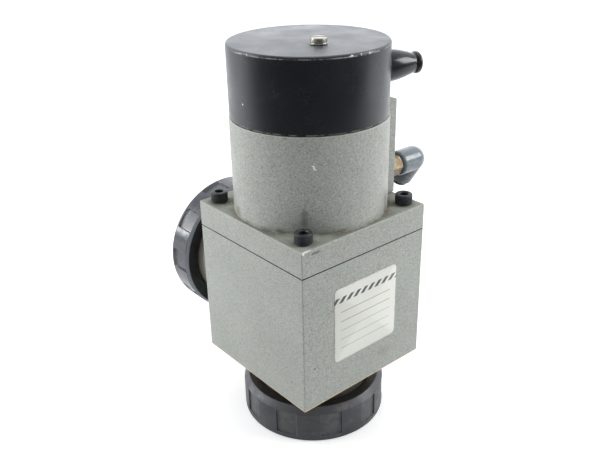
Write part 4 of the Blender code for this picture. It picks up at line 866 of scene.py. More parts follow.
# The side plate has the bonnet's grey paint, given a darker tint as painted shade.
SHADED_PLATE_PAINT = paint_finish("shaded_grey_side_plate_paint", [], tint=(0.295, 0.309, 0.28))
COVER_PAINT = black_paint_finish()
NUT_DUST = [
    mark(tint, share, on_cylinder(radians(angle), rise * MM, NUT_R), reach, 0.7, grain, 1.0)
    for tint, share, angle, rise, reach, grain in (
        ((0.25, 0.225, 0.18), 0.34, -16.0, 18.2, (6, 9, 2.6), 2.5),
        ((0.25, 0.225, 0.18), 0.26, 6.0, 16.5, (4, 8, 4.0), 3.0),
        ((0.32, 0.32, 0.30), 0.30, -89.0, 18.0, (4, 4, 1.8), 1.5),
        ((0.26, 0.27, 0.28), 0.34, -103.0, 17.0, (8, 5, 4.0), 3.0),
        ((0.25, 0.23, 0.19), 0.30, -40.5, 5.0, (1.8, 1.8, 1.0), 0.8),
    )
]
LOWER_NUT_PLASTIC = moulding_finish(
    "lower_nut_moulding", UPRIGHT, (0.039, 0.041, 0.046), 0.34, 0.5, (0.07, 0.075, 0.086), 0.13, NUT_DUST
)
SIDE_NUT_PLASTIC = moulding_finish(
    "side_nut_moulding", SIDEWAYS, (0.030, 0.034, 0.044), 0.13, 0.24, (0.25, 0.268, 0.30), 0.02
)
# The lower neck is the side neck's pale aluminium, painted dark as shade under the block.
LOWER_NECK_SHADED_METAL = turned_metal_finish("lower_neck_shaded_aluminium", (0.085, 0.08, 0.072), 0.5, UPRIGHT, 0.5)
SIDE_NECK_METAL = turned_metal_finish("side_neck_aluminium", (0.38, 0.35, 0.30), 0.4, SIDEWAYS, 0.5)
BORED_METAL = turned_metal_finish("bored_aluminium", (0.55, 0.54, 0.51), 0.42, UPRIGHT)
TURNED_STEEL = turned_metal_finish("turned_steel", (0.52, 0.52, 0.52), 0.28, UPRIGHT)
PLAIN_STEEL = plain_metal_finish("plain_steel", (0.50, 0.50, 0.50), 0.34)
NICKEL = plain_metal_finish("nickel_screw_plate", (0.50, 0.47, 0.41), 0.34, dirt=0.45)
# A dark, dull metal for the faces of the screw's slot.
SLOT_DARK_METAL = plain_metal_finish("dark_screw_slot", (0.10, 0.08, 0.06), 0.6, metallic=0.3)
BRASS = plain_metal_finish("aged_brass", (0.185, 0.137, 0.086), 0.42, metallic=0.7, dirt=0.6)
BRONZE = plain_metal_finish("bush_bronze", (0.45, 0.30, 0.16), 0.45)
BLACK_STEEL = black_screw_finish()
BOOT_BEAD = (BOOT_END.x, BOOT_END.y, boot_high.z - 8 * MM)
BOOT_DUST = [mark((0.26, 0.225, 0.18), 0.35, BOOT_BEAD, (4, 4.5, 8), 0.5, 2.0, 0.6)]
BOOT_RUBBER = rubber_finish("boot_rubber", (0.0105, 0.0105, 0.012), 0.11, 0.2, 0.06, BOOT_DUST)
SEAL_RUBBER = rubber_finish("seal_rubber", (0.018, 0.018, 0.018), 0.5, 0.7, 0.10)
ELBOW_PLASTIC = elbow_finish()
COLLET_PLASTIC = speckled_plastic_finish("collet_plastic", (0.028, 0.028, 0.03), 0.35)
COIL_RESIN = speckled_plastic_finish("coil_resin", (0.05, 0.05, 0.055), 0.45)
TERMINAL_PLASTIC = speckled_plastic_finish("pale_terminal_plastic", (0.58, 0.56, 0.48), 0.5)
LABEL_FILM = label_finish()


# Shape building

def middle_of(node):
    """The middle of a node's box."""
    low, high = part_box(node)
    return (low + high) / 2


def link(name, mesh, finish):
    """A piece made of a mesh and a finish."""
    piece = bpy.data.objects.new(name, mesh)
    bpy.context.scene.collection.objects.link(piece)
    mesh.materials.append(finish)
    return piece


def smooth(piece, angle):
    """Shades the piece smooth, apart from edges sharper than an angle in degrees."""
    piece.data.shade_smooth()
    piece.data.set_sharp_from_angle(angle=radians(angle))


def stands_for(piece, body, slot, *nodes, angle=32):
    """The smoothed piece rides on a body and takes the place of its solids. Its slot is not used."""
    smooth(piece, angle)
    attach(piece, body)
    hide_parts(*nodes)


def skin(name, rings, closed):
    """A mesh over rings of points. A ring of one point is a pole."""
    shape = bmesh.new()
    rows = [[shape.verts.new(point) for point in ring] for ring in rings]
    pairs = list(zip(rows, rows[1:]))
    if closed:
        pairs.append((rows[-1], rows[0]))
    for first, second in pairs:
        count = max(len(first), len(second))
        for i in range(count):
            j = (i + 1) % count
            if len(first) == 1:
                shape.faces.new((first[0], second[j], second[i]))
            elif len(second) == 1:
                shape.faces.new((first[i], first[j], second[0]))
            else:
                shape.faces.new((first[i], first[j], second[j], second[i]))
    bmesh.ops.recalc_face_normals(shape, faces=shape.faces)
    mesh = bpy.data.meshes.new(name)
    shape.to_mesh(mesh)
    shape.free()
    return mesh


def rounded(points, radius, closed, steps=4):
    """The outline with its corners rounded. A third value in a point is that corner's own radius."""
    made = []
    count = len(points)
    for i, point in enumerate(points):
        here = Vector(point[:2])
        reach = point[2] if len(point) > 2 else radius
        if (not closed and i in (0, count - 1)) or reach == 0:
            made.append(tuple(here))
            continue
        before = Vector(points[i - 1][:2])
        after = Vector(points[(i + 1) % count][:2])
        back, onward = before - here, after - here
        reach = min(reach, back.length * 0.49, onward.length * 0.49)
        start = here + back.normalized() * reach
        end = here + onward.normalized() * reach
        for step in range(steps + 1):
            t = step / steps
            made.append(tuple((1 - t) ** 2 * start + 2 * t * (1 - t) * here + t**2 * end))
    return made


def turned(name, points, around=128, radius=0.25 * MM, closed=None, steps=4):
    """A turned mesh from (distance from axis, height) points."""
    if closed is None:
        closed = points[0][0] > 0 and points[-1][0] > 0
    rings = []
    for far, rise in rounded(points, radius, closed, steps):
        if far <= 0:
            rings.append([Vector((0, 0, rise))])
        else:
            rings.append(
                [
                    Vector((far * cos(2 * pi * i / around), far * sin(2 * pi * i / around), rise))
                    for i in range(around)
                ]
            )
    return skin(name, rings, closed)


def rod(name, radius, top, bottom, around):
    """A plain round or many-sided rod between two heights."""
    return turned(name, [(0, top), (radius, top), (radius, bottom), (0, bottom)], around, 0)


def box_mesh(name, low, high):
    """A box between two corners."""
    shape = bmesh.new()
    bmesh.ops.create_cube(shape, size=1.0)
    low, high = Vector(low), Vector(high)
    bmesh.ops.scale(shape, vec=high - low, verts=shape.verts)
    bmesh.ops.translate(shape, vec=(low + high) / 2, verts=shape.verts)
    mesh = bpy.data.meshes.new(name)
    shape.to_mesh(mesh)
    shape.free()
    return mesh


def settle(piece):
    """Makes the piece's modifiers part of its mesh."""
    bpy.context.view_layer.update()
    graph = bpy.context.evaluated_depsgraph_get()
    made = bpy.data.meshes.new_from_object(piece.evaluated_get(graph))
    old = piece.data
    piece.modifiers.clear()
    piece.data = made
    made.name = old.name
    bpy.data.meshes.remove(old)


def change(piece, mesh, operation):
    """Cuts a mesh out of the piece, joins it on, or keeps what both share."""
    other = bpy.data.objects.new("tool_" + mesh.name, mesh)
    bpy.context.scene.collection.objects.link(other)
    step = piece.modifiers.new(operation, "BOOLEAN")
    step.operation = operation
    step.solver = "EXACT"
    step.object = other
    settle(piece)
    bpy.data.objects.remove(other, do_unlink=True)
    bpy.data.meshes.remove(mesh)


def round_edges(piece, width, segments=3, angle=30):
    step = piece.modifiers.new("rounded_edges", "BEVEL")
    step.width = width
    step.segments = segments
    step.limit_method = "ANGLE"
    step.angle_limit = radians(angle)
    settle(piece)


def round_box(piece, width, joint):
    """Eases a box's edges, those at the joint's height only a little."""
    weights = piece.data.attributes.new("bevel_weight_edge", "FLOAT", "EDGE").data
    points = piece.data.vertices
    for edge in piece.data.edges:
        at_joint = all(abs(points[i].co.z - joint) < GAP / 2 for i in edge.vertices)
        weights[edge.index].value = 0.35 if at_joint else 1.0
    step = piece.modifiers.new("rounded_edges", "BEVEL")
    step.width = width
    step.segments = 4
    step.limit_method = "WEIGHT"
    settle(piece)


def moved(mesh, turn=Matrix.Identity(4), at=(0, 0, 0)):
    """Turns a mesh, then moves it to a point given from the valve's axis at floor level."""
    mesh.transform(Matrix.Translation(AXIS + Vector(at)) @ turn)
    return mesh


def cut_slot(screw, half_width, floor, top, turn):
    """Cuts a turned slot through a screw's head."""
    slot = box_mesh("slot", (-6 * MM, -half_width, floor), (6 * MM, half_width, top + CUT_PAST))
    slot.transform(Matrix.Rotation(turn, 4, "Z"))
    change(screw, slot, "DIFFERENCE")


def split_finish(piece, second, test):
    """Gives the second finish to the faces whose middle passes the test."""
    piece.data.materials.append(second)
    index = len(piece.data.materials) - 1
    for face in piece.data.polygons:
        if test(face.center):
            face.material_index = index


# Pieces that take the place of the solids

def make_block():
    """The square block with its edges eased, bored for the chamber and both ports."""
    low = (-BLOCK_HALF, -BLOCK_HALF, block_low.z)
    high = (BLOCK_HALF, BLOCK_HALF, block_high.z)
    block = link("dressed_block", moved(box_mesh("block", low, high)), BODY_PAINT)
    round_box(block, BLOCK_EDGE, block_high.z)
    seat_r = NECK_R + GAP
    floor = block_low.z + CHAMBER_FLOOR_RISE
    rebate_r = 37.0 * MM
    rebate_z = block_high.z - 2.6 * MM
    chamber = [
        (0, block_high.z + CUT_PAST),
        (rebate_r, block_high.z + CUT_PAST),
        (rebate_r, rebate_z),
        (CHAMBER_R, rebate_z),
        (CHAMBER_R, floor),
        (SEAT_R, floor),
        (SEAT_R, floor + SEAT_HEIGHT),
        (PORT_BORE_R, floor + SEAT_HEIGHT),
        (PORT_BORE_R, block_low.z + NECK_SEAT_DEPTH),
        (seat_r, block_low.z + NECK_SEAT_DEPTH),
        (seat_r, block_low.z - CUT_PAST),
        (0, block_low.z - CUT_PAST),
    ]
    change(block, moved(turned("chamber", chamber, 96, 0)), "DIFFERENCE")
    side = [
        (0, BLOCK_HALF + CUT_PAST),
        (seat_r, BLOCK_HALF + CUT_PAST),
        (seat_r, BLOCK_HALF - NECK_SEAT_DEPTH),
        (PORT_BORE_R, BLOCK_HALF - NECK_SEAT_DEPTH),
        (PORT_BORE_R, 5 * MM),
        (0, 5 * MM),
    ]
    change(block, moved(turned("side_bore", side, 96, 0), OUT_OF_SIDE_PORT, (0, 0, PORT_Z)), "DIFFERENCE")
    skin_deep = 0.9 * MM
    inside = BLOCK_HALF - skin_deep

    def is_bored(centre):
        x, y = abs(centre.x - AXIS.x), abs(centre.y - AXIS.y)
        return x < inside and y < inside and block_low.z + skin_deep < centre.z < block_high.z - skin_deep

    split_finish(block, BORED_METAL, is_bored)
    stands_for(block, "housing", "grey_paint", "valve_body")


def make_bonnet():
    """The square plate and its cylinder in one casting, with the cylinder's bore inside."""
    low = (-BLOCK_HALF, -BLOCK_HALF, bonnet_low.z)
    high = (BLOCK_HALF, BLOCK_HALF, PLATE_TOP)
    bonnet = link("dressed_bonnet", moved(box_mesh("bonnet", low, high)), BONNET_PAINT)
    round_box(bonnet, BLOCK_EDGE, bonnet_low.z)
    outside = [
        (0, bonnet_high.z),
        (SPIGOT_R, bonnet_high.z),
        (SPIGOT_R, JOINT),
        (CYLINDER_R, JOINT, 0.3 * MM),
        (CYLINDER_R, PLATE_TOP - 4 * MM, 0),
        (0, PLATE_TOP - 4 * MM),
    ]
    change(bonnet, moved(turned("cylinder", outside, 160, 0)), "UNION")
    bore_floor = PLATE_TOP + BORE_FLOOR_RISE
    groove_r = CYLINDER_BORE_R + 1.8 * MM
    bore = [
        (0, bonnet_high.z + CUT_PAST),
        (CYLINDER_BORE_R, bonnet_high.z + CUT_PAST),
        (CYLINDER_BORE_R, JOINT + GAP),
        (groove_r, JOINT + GAP),
        (groove_r, JOINT - 1.5 * MM),
        (CYLINDER_BORE_R, JOINT - 1.5 * MM),
        (CYLINDER_BORE_R, bore_floor),
        (BUSH_HOLE_R, bore_floor),
        (BUSH_HOLE_R, bonnet_low.z - CUT_PAST),
        (0, bonnet_low.z - CUT_PAST),
    ]
    change(bonnet, moved(turned("bonnet_bore", bore, 96, 0)), "DIFFERENCE")
    bored_r = CYLINDER_BORE_R + 2 * MM

    def is_bored(centre):
        far = sqrt((centre.x - AXIS.x) ** 2 + (centre.y - AXIS.y) ** 2)
        on_top = abs(centre.z - PLATE_TOP) < 0.1 * MM
        return centre.z > JOINT - 0.1 * MM or (far < bored_r and not on_top)

    split_finish(bonnet, BORED_METAL, is_bored)
    stands_for(bonnet, "housing", "grey_paint", "bonnet")


def make_cover():
    """The drawn black cover with its rolled top edge, holed for its screw and the cable boot."""
    inner = COVER_R - COVER_WALL
    points = [
        (0, cover_high.z),
        (COVER_R, cover_high.z, COVER_EDGE),
        (COVER_R, cover_low.z, 0.25 * MM),
        (inner, cover_low.z, 0.25 * MM),
        (inner, cover_high.z - COVER_WALL, 1.0 * MM),
        (0, cover_high.z - COVER_WALL),
    ]
    shell = turned("cover", points, 192, 0, closed=False, steps=8)
    cover = link("dressed_cover", moved(shell), COVER_PAINT)
    above, within = 210 * MM, 190 * MM
    hole = rod("cover_screw_hole", 2.3 * MM, above, within, 48)
    change(cover, moved(hole, at=COVER_SCREW_PLACE), "DIFFERENCE")
    hole = rod("cover_boot_hole", 5.8 * MM, COVER_R + CUT_PAST, COVER_R - 8 * MM, 64)
    change(cover, moved(hole, ALONG_BOOT, (0, 0, BOOT_Z)), "DIFFERENCE")
    stands_for(cover, "housing", "black_paint", "cover")


def make_boot():
    """The rubber cable boot: lip, groove, swelling, neck, and an end bead round the cable's hole."""
    cable_r, neck_r, bead_r = 2.4 * MM, 4.65 * MM, 5.4 * MM
    groove_r, lip_r, flange_r = 5.5 * MM, 7.2 * MM, 8.2 * MM
    base = COVER_R + GAP
    inner = COVER_R - COVER_WALL
    lip_out = sqrt(inner**2 - lip_r**2) - GAP
    lip_in = lip_out - 1.6 * MM
    taper = 16.8 * MM
    bead = base + taper
    points = [(cable_r, bead + 3.4 * MM), (neck_r, bead + 3.4 * MM), (bead_r, bead + 2.4 * MM)]
    points += [(bead_r, bead + 1.0 * MM), (4.7 * MM, bead)]
    for i in range(11, -1, -1):
        share = i / 12
        swell = neck_r + 3.25 * MM * cos(pi / 2 * share) ** 0.9
        points.append((swell, base + 1.0 * MM + (taper - 1.0 * MM) * share))
    points += [
        (flange_r, base + 0.9 * MM),
        (flange_r, base),
        (groove_r, base),
        (groove_r, lip_out),
        (lip_r, lip_out),
        (lip_r, lip_in),
        (cable_r, lip_in),
    ]
    mesh = moved(turned("boot", points, 96, 0.35 * MM), ALONG_BOOT, (0, 0, BOOT_Z))
    boot = link("dressed_boot", mesh, BOOT_RUBBER)
    stands_for(boot, "housing", "boot_rubber", "cable_boot", angle=40)


def make_cover_screw():
    """Plated cheese-head screw with a wide slot and a thin flange under its head."""
    low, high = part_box("cover_screw")
    seat = high.z - 3.0 * MM
    shank_r, groove_r, flange_r = 2.0 * MM, 3.5 * MM, 4.0 * MM
    points = [
        (0, high.z),
        (3.1 * MM, high.z - 0.06 * MM),
        (3.75 * MM, high.z - 0.35 * MM),
        (3.85 * MM, seat + 0.85 * MM),
        (groove_r, seat + 0.75 * MM),
        (groove_r, seat + 0.5 * MM),
        (flange_r, seat + 0.45 * MM),
        (flange_r, seat),
        (shank_r, seat),
        (shank_r, low.z),
        (0, low.z),
    ]
    screw = link("dressed_cover_screw", turned("cover_screw", points, 96, 0.15 * MM), NICKEL)
    slot_turn = radians(54)
    cut_slot(screw, 0.6 * MM, high.z - 1.4 * MM, high.z, slot_turn)
    round_edges(screw, 0.12 * MM, 2, 40)

    def in_slot(centre):
        aside = abs(centre.y * cos(slot_turn) - centre.x * sin(slot_turn))
        return aside < 0.62 * MM and centre.z > seat and centre.z < high.z - 0.2 * MM

    split_finish(screw, SLOT_DARK_METAL, in_slot)
    moved(screw.data, at=COVER_SCREW_PLACE)
    stands_for(screw, "housing", "nickel_plate", "cover_screw")


def make_bonnet_screws():
    """Four cap screws: a knurled head with a chamfer, and a hexagon socket turned its own way in each."""
    for number, turn in enumerate((8, 33, 51, 22), 1):
        node = f"bonnet_screw_{number}"
        low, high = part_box(node)
        under = high.z - 5.0 * MM
        head_r, shank_r, groove_deep = 4.25 * MM, 2.5 * MM, 0.17 * MM
        teeth = 40
        around = teeth * 4
        knurl = [
            (shank_r, low.z, 0),
            (shank_r, under, 0),
            (head_r - 0.25 * MM, under, 0),
            (head_r, under + 0.25 * MM, 0),
            (head_r, under + 0.5 * MM, groove_deep),
            (head_r, high.z - 0.75 * MM, groove_deep),
            (head_r, high.z - 0.5 * MM, 0),
            (head_r - 0.1 * MM, high.z - 0.25 * MM, 0),
            (head_r - 0.4 * MM, high.z, 0),
        ]
        rings = [[Vector((0, 0, low.z))]]
        for far, rise, groove in knurl:
            ring = []
            for i in range(around):
                angle = 2 * pi * i / around
                reach = far - groove * (0.5 + 0.5 * cos(2 * pi * i / 4))
                ring.append(Vector((reach * cos(angle), reach * sin(angle), rise)))
            rings.append(ring)
        rings.append([Vector((0, 0, high.z))])
        screw = link(f"dressed_{node}", skin(node, rings, False), BLACK_STEEL)
        above = high.z + 1 * MM
        outline = [(0, above), (2.31 * MM, above), (2.31 * MM, high.z - 2.6 * MM), (0, high.z - 2.9 * MM)]
        socket = turned("socket", outline, 6, 0)
        socket.transform(Matrix.Rotation(radians(turn), 4, "Z"))
        change(screw, socket, "DIFFERENCE")
        above, under = high.z + 0.5 * MM, high.z - 0.5 * MM
        outline = [(0, above), (2.95 * MM, above), (1.95 * MM, under), (0, under)]
        change(screw, turned("socket_flare", outline, 48, 0), "DIFFERENCE")
        middle = (low + high) / 2
        screw.data.transform(Matrix.Translation((middle.x, middle.y, 0)))
        stands_for(screw, "housing", "black_steel", node, angle=40)


def step_up(value, start, end):
    """0 before start, 1 after end, smooth between."""
    t = max(0.0, min(1.0, (value - start) / (end - start)))
    return t * t * (3 - 2 * t)


def nut_angles(first_recess):
    """Angles round a ring nut, closer together at the recess walls."""
    pitch = 2 * pi / NUT_RECESS_COUNT
    angles = []
    for number in range(NUT_RECESS_COUNT):
        middle = first_recess + pitch * number
        start = middle - NUT_RECESS_HALF
        end = middle + NUT_RECESS_HALF
        for wall in (start, end):
            angles += [wall + NUT_WALL_HALF * share for share in (-1.6, -1.0, -0.35, 0.35, 1.0, 1.6)]
        for i in range(1, 10):
            angles.append(start + (end - start) * i / 10)
            angles.append(end + (pitch - 2 * NUT_RECESS_HALF) * i / 10)
    return sorted(angles)


def make_ring_nut(name, node, body, outer_end, turn, sizes, finish):
    """A ring nut: web, threaded socket, eased rims and ten grip recesses closed at both ends."""
    back = outer_end - sizes["height"]
    web_end = back + sizes["web"]
    hole = NECK_R + 0.5 * MM
    bevel_end = back + sizes["bevel_height"]
    recess_start = bevel_end + 0.3 * MM
    recess_end = outer_end - sizes["rim"]
    outline = [
        (NUT_SOCKET_R, outer_end, 0.5 * MM),
        (NUT_R, outer_end, 0.8 * MM),
        (NUT_R, bevel_end, 0.5 * MM),
        (NUT_R - sizes["bevel_width"], back, 0.6 * MM),
        (hole, back, 0.5 * MM),
        (hole, web_end, 0.3 * MM),
        (NUT_SOCKET_R + NUT_THREAD_DEPTH, web_end, 0.2 * MM),
    ]
    rows = []
    corners = rounded(outline, 0.3 * MM, True)
    for i, here in enumerate(corners):
        after = corners[(i + 1) % len(corners)]
        rows.append(here)
        long_run = abs(here[1] - after[1]) > 2 * MM
        if long_run and min(here[0], after[0]) > NUT_R - 0.05 * MM:
            heights = [recess_end + share * NUT_END_WALL for share in (1.4, 0.8, 0.3, -0.3, -0.8, -1.4)]
            heights += [recess_end + (recess_start - recess_end) * k / 8 for k in range(1, 8)]
            heights += [recess_start + share * NUT_END_WALL for share in (1.4, 0.8, 0.3, -0.3, -0.8)]
            rows += [(NUT_R, height) for height in heights if after[1] < height < here[1]]
        elif long_run and abs(here[0] - NUT_SOCKET_R) < 1 * MM and abs(after[0] - NUT_SOCKET_R) < 1 * MM:
            count = int(abs(here[1] - after[1]) / NUT_THREAD_PITCH) * 4
            for k in range(1, count):
                rise = here[1] + (after[1] - here[1]) * k / count
                rows.append((NUT_SOCKET_R + (NUT_THREAD_DEPTH if k % 4 in (2, 3) else 0.0), rise))
    angles = nut_angles(sizes["first"])
    pitch = 2 * pi / NUT_RECESS_COUNT
    rings, hollows, skins, sheen_slopes, wall_shades = [], [], [], [], []
    for far, rise in rows:
        shown = 1.0 if far > NUT_R - sizes["bevel_width"] - 0.2 * MM else 0.0
        sheen_slope = shown if rise < bevel_end - 0.1 * MM and far < NUT_R - 0.1 * MM else 0.0
        along = step_up(rise, recess_start - NUT_END_WALL, recess_start + NUT_END_WALL)
        along *= 1 - step_up(rise, recess_end - sizes["run_out"], recess_end + NUT_END_WALL)
        ring = []
        for angle in angles:
            apart = abs((angle - sizes["first"] + pitch / 2) % pitch - pitch / 2)
            within = 1 - step_up(apart, NUT_RECESS_HALF - NUT_WALL_HALF, NUT_RECESS_HALF + NUT_WALL_HALF)
            share = within * along * shown
            hollows.append(share)
            skins.append(shown)
            sheen_slopes.append(sheen_slope)
            wall_shades.append(4 * within * (1 - within) * along * shown)
            reach = min(far, NUT_R - NUT_RECESS_DEPTH * share) if shown else far
            ring.append(Vector((reach * cos(angle), reach * sin(angle), rise)))
        rings.append(ring)
    mesh = skin(name, rings, True)
    # The stored values mark dust in the recesses, the outer faces, painted shade on the recess walls and a
    # painted sheen on the bevel.
    for label, values in (("recess", hollows), ("outside", skins), ("bevel_sheen", sheen_slopes), ("wall", wall_shades)):
        mesh.attributes.new(label, "FLOAT", "POINT").data.foreach_set("value", values)
    moved(mesh, turn, (0, 0, PORT_Z))
    nut = link(name, mesh, finish)
    stands_for(nut, body, "black_moulding", node, angle=38)


def make_neck(name, node, block_face, turn, finish):
    """A turned port tube with its flanged face."""
    face = PORT_Z
    inner_end = block_face - NECK_SEAT_DEPTH + GAP
    points = [
        (COLLAR_RECESS_R, face),
        (COLLAR_R, face, 0.6 * MM),
        (COLLAR_R, face - COLLAR_THICK, 0.5 * MM),
        (NECK_R, face - COLLAR_THICK, 0.8 * MM),
        (NECK_R, inner_end),
        (PORT_BORE_R, inner_end),
        (PORT_BORE_R, face - COLLAR_RECESS_DEPTH),
        (COLLAR_RECESS_R, face - COLLAR_RECESS_DEPTH),
    ]
    neck = link(name, moved(turned(node, points, 128), turn, (0, 0, PORT_Z)), finish)
    stands_for(neck, "housing", "bare_aluminium", node)


def make_side_plate():
    """Flat air plate with a hollow back that fits round the cylinder."""
    half = (plate_high.x - plate_low.x) / 2
    saddle_r = CYLINDER_R + GAP
    front = BLOCK_HALF
    back = sqrt(saddle_r**2 - half**2) - 2 * MM
    slab = box_mesh("side_plate", (-half, back, plate_low.z), (half, front, plate_high.z))
    plate = link("dressed_side_plate", moved(slab), SHADED_PLATE_PAINT)
    round_edges(plate, 0.5 * MM, 3)
    saddle = rod("saddle", saddle_r, plate_high.z + CUT_PAST, plate_low.z - CUT_PAST, 256)
    change(plate, moved(saddle), "DIFFERENCE")
    for node, radius, around in (
        ("side_plate_screw_1", PLATE_SCREW_HOLE_R, 32),
        ("side_plate_screw_2", PLATE_SCREW_HOLE_R, 32),
        ("air_fitting", FITTING_HOLE_R, 48),
    ):
        middle = middle_of(node)
        hole = rod("plate_hole", radius, 50 * MM, 0.0, around)
        change(plate, moved(hole, TOWARDS_AIR_SIDE, (middle.x - AXIS.x, 0, middle.z)), "DIFFERENCE")
    stands_for(plate, "housing", "grey_paint", "side_plate")


def make_side_screws():
    """Two slotted cheese-head screws in the side plate."""
    for number, turn in ((1, 25), (2, -38)):
        node = f"side_plate_screw_{number}"
        low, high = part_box(node)
        seat = BLOCK_HALF + GAP
        top = high.y - AXIS.y
        tip = low.y - AXIS.y
        head_r, shank_r = 3.5 * MM, 2.0 * MM
        points = [(0, top), (head_r, top, 0.5 * MM), (head_r, seat)]
        points += [(shank_r, seat), (shank_r, tip), (0, tip)]
        screw = link(f"dressed_{node}", turned(node, points, 64, 0.2 * MM), BLACK_STEEL)
        cut_slot(screw, 0.5 * MM, top - 1.1 * MM, top, radians(turn))
        middle = (low + high) / 2
        moved(screw.data, TOWARDS_AIR_SIDE, (middle.x - AXIS.x, 0, middle.z))
        stands_for(screw, "housing", "black_steel", node)


def make_fitting():
    """Brass adaptor: chamfered hexagon, a short thread and the bore through it."""
    hex_start = BLOCK_HALF + GAP
    hex_end = FITTING_HIGH.y - AXIS.y
    corner_r = 5.0 * MM / cos(pi / 6)
    fitting = link("dressed_fitting", rod("hexagon", corner_r, hex_end, hex_start, 6), BRASS)
    lathe = [
        (0, hex_end),
        (4.7 * MM, hex_end),
        (corner_r, hex_end - 0.7 * MM),
        (corner_r, hex_start + 0.7 * MM),
        (4.7 * MM, hex_start),
        (0, hex_start),
    ]
    change(fitting, turned("chamfers", lathe, 96, 0), "INTERSECT")
    change(fitting, rod("thread", 4.2 * MM, hex_start + 1 * MM, BLOCK_HALF - 6 * MM, 64), "UNION")
    change(fitting, rod("bore", 3.2 * MM, hex_end + 1 * MM, BLOCK_HALF - 8 * MM, 48), "DIFFERENCE")
    round_edges(fitting, 0.12 * MM, 2, 25)
    moved(fitting.data, TOWARDS_AIR_SIDE, (FITTING_X, 0, FITTING_Z))
    stands_for(fitting, "housing", "aged_brass", "air_fitting", angle=25)


def make_elbow():
    """Moulded swivel elbow: barrel with a domed end and a slanted leg."""
    start = FITTING_HIGH.y - AXIS.y + GAP
    stub = ELBOW_LOW.y - AXIS.y
    foot = (FITTING_X, 0, FITTING_Z)
    corner = (FITTING_X, ELBOW_CORNER, FITTING_Z)
    quarter = [pi / 2 * i / 10 for i in range(11)]
    barrel = [(ELBOW_R * sin(angle), ELBOW_CORNER + ELBOW_R * cos(angle)) for angle in quarter]
    barrel += [(ELBOW_R, start, 1.5 * MM), (2.8 * MM, start), (2.8 * MM, stub), (0, stub)]
    barrel = moved(turned("elbow", barrel, 96, 0), TOWARDS_AIR_SIDE, foot)
    elbow = link("dressed_elbow", barrel, ELBOW_PLASTIC)
    leg = [(0, ELBOW_LEG), (ELBOW_R, ELBOW_LEG, 0.6 * MM), (ELBOW_R, 0.5 * MM, 0), (0, 0.5 * MM)]
    change(elbow, moved(turned("leg", leg, 96, 0), ALONG_ELBOW_LEG, corner), "UNION")
    remesh = elbow.modifiers.new("even_mesh", "REMESH")
    remesh.mode = "VOXEL"
    remesh.voxel_size = 0.25 * MM
    ease = elbow.modifiers.new("eased", "SMOOTH")
    ease.factor = 0.5
    ease.iterations = 7
    settle(elbow)
    socket = [
        (0, ELBOW_LEG + CUT_PAST),
        (ELBOW_SOCKET_R, ELBOW_LEG + CUT_PAST),
        (ELBOW_SOCKET_R, ELBOW_LEG - ELBOW_SOCKET_DEPTH),
        (ELBOW_PASSAGE_R, ELBOW_LEG - ELBOW_SOCKET_DEPTH),
        (ELBOW_PASSAGE_R, 0),
        (0, 0),
    ]
    change(elbow, moved(turned("socket", socket, 48, 0), ALONG_ELBOW_LEG, corner), "DIFFERENCE")
    passage = rod("passage", ELBOW_PASSAGE_R, ELBOW_CORNER + ELBOW_PASSAGE_R, stub - CUT_PAST, 32)
    change(elbow, moved(passage, TOWARDS_AIR_SIDE, foot), "DIFFERENCE")
    stands_for(elbow, "elbow", "elbow_moulding", "air_elbow", angle=40)


def make_collet():
    """Release collet at the open end of the elbow."""
    hose_r, sleeve_r, flange_r = 3.05 * MM, 3.9 * MM, 5.4 * MM
    inner = ELBOW_LEG + 1.3 * MM
    outer = inner + 1.2 * MM
    sleeve_end = inner - 8.0 * MM
    points = [
        (hose_r, outer),
        (flange_r, outer),
        (flange_r, inner),
        (sleeve_r, inner),
        (sleeve_r, sleeve_end),
        (hose_r, sleeve_end),
    ]
    corner = (FITTING_X, ELBOW_CORNER, FITTING_Z)
    mesh = moved(turned("collet", points, 64, 0.3 * MM), ALONG_ELBOW_LEG, corner)
    collet = link("dressed_collet", mesh, COLLET_PLASTIC)
    stands_for(collet, "collet", "black_moulding", "elbow_collet")


def make_label():
    """Thin film with rounded corners, its rim just softened."""
    half_w = (label_high.y - label_low.y) / 2
    half_h = (label_high.z - label_low.z) / 2
    corner = 2.6 * MM
    outline = []
    for quarter, (y, z) in enumerate(((1, 1), (-1, 1), (-1, -1), (1, -1))):
        for i in range(9):
            angle = quarter * pi / 2 + pi / 2 * i / 8
            outline.append(
                (y * (half_w - corner) + corner * cos(angle), z * (half_h - corner) + corner * sin(angle))
            )
    middle_y = (label_low.y + label_high.y) / 2
    middle_z = (label_low.z + label_high.z) / 2
    rings = []
    for x, inset in ((label_low.x, 0.0), (label_high.x - 0.05 * MM, 0.0), (label_high.x, 0.08 * MM)):
        share_y = 1 - inset / half_w
        share_z = 1 - inset / half_h
        rings.append([Vector((x, middle_y + y * share_y, middle_z + z * share_z)) for y, z in outline])
    rings.insert(0, [Vector((label_low.x, middle_y, middle_z))])
    rings.append([Vector((label_high.x, middle_y, middle_z))])
    label = link("dressed_label", skin("label", rings, False), LABEL_FILM)
    stands_for(label, "housing", "label_film", "label")


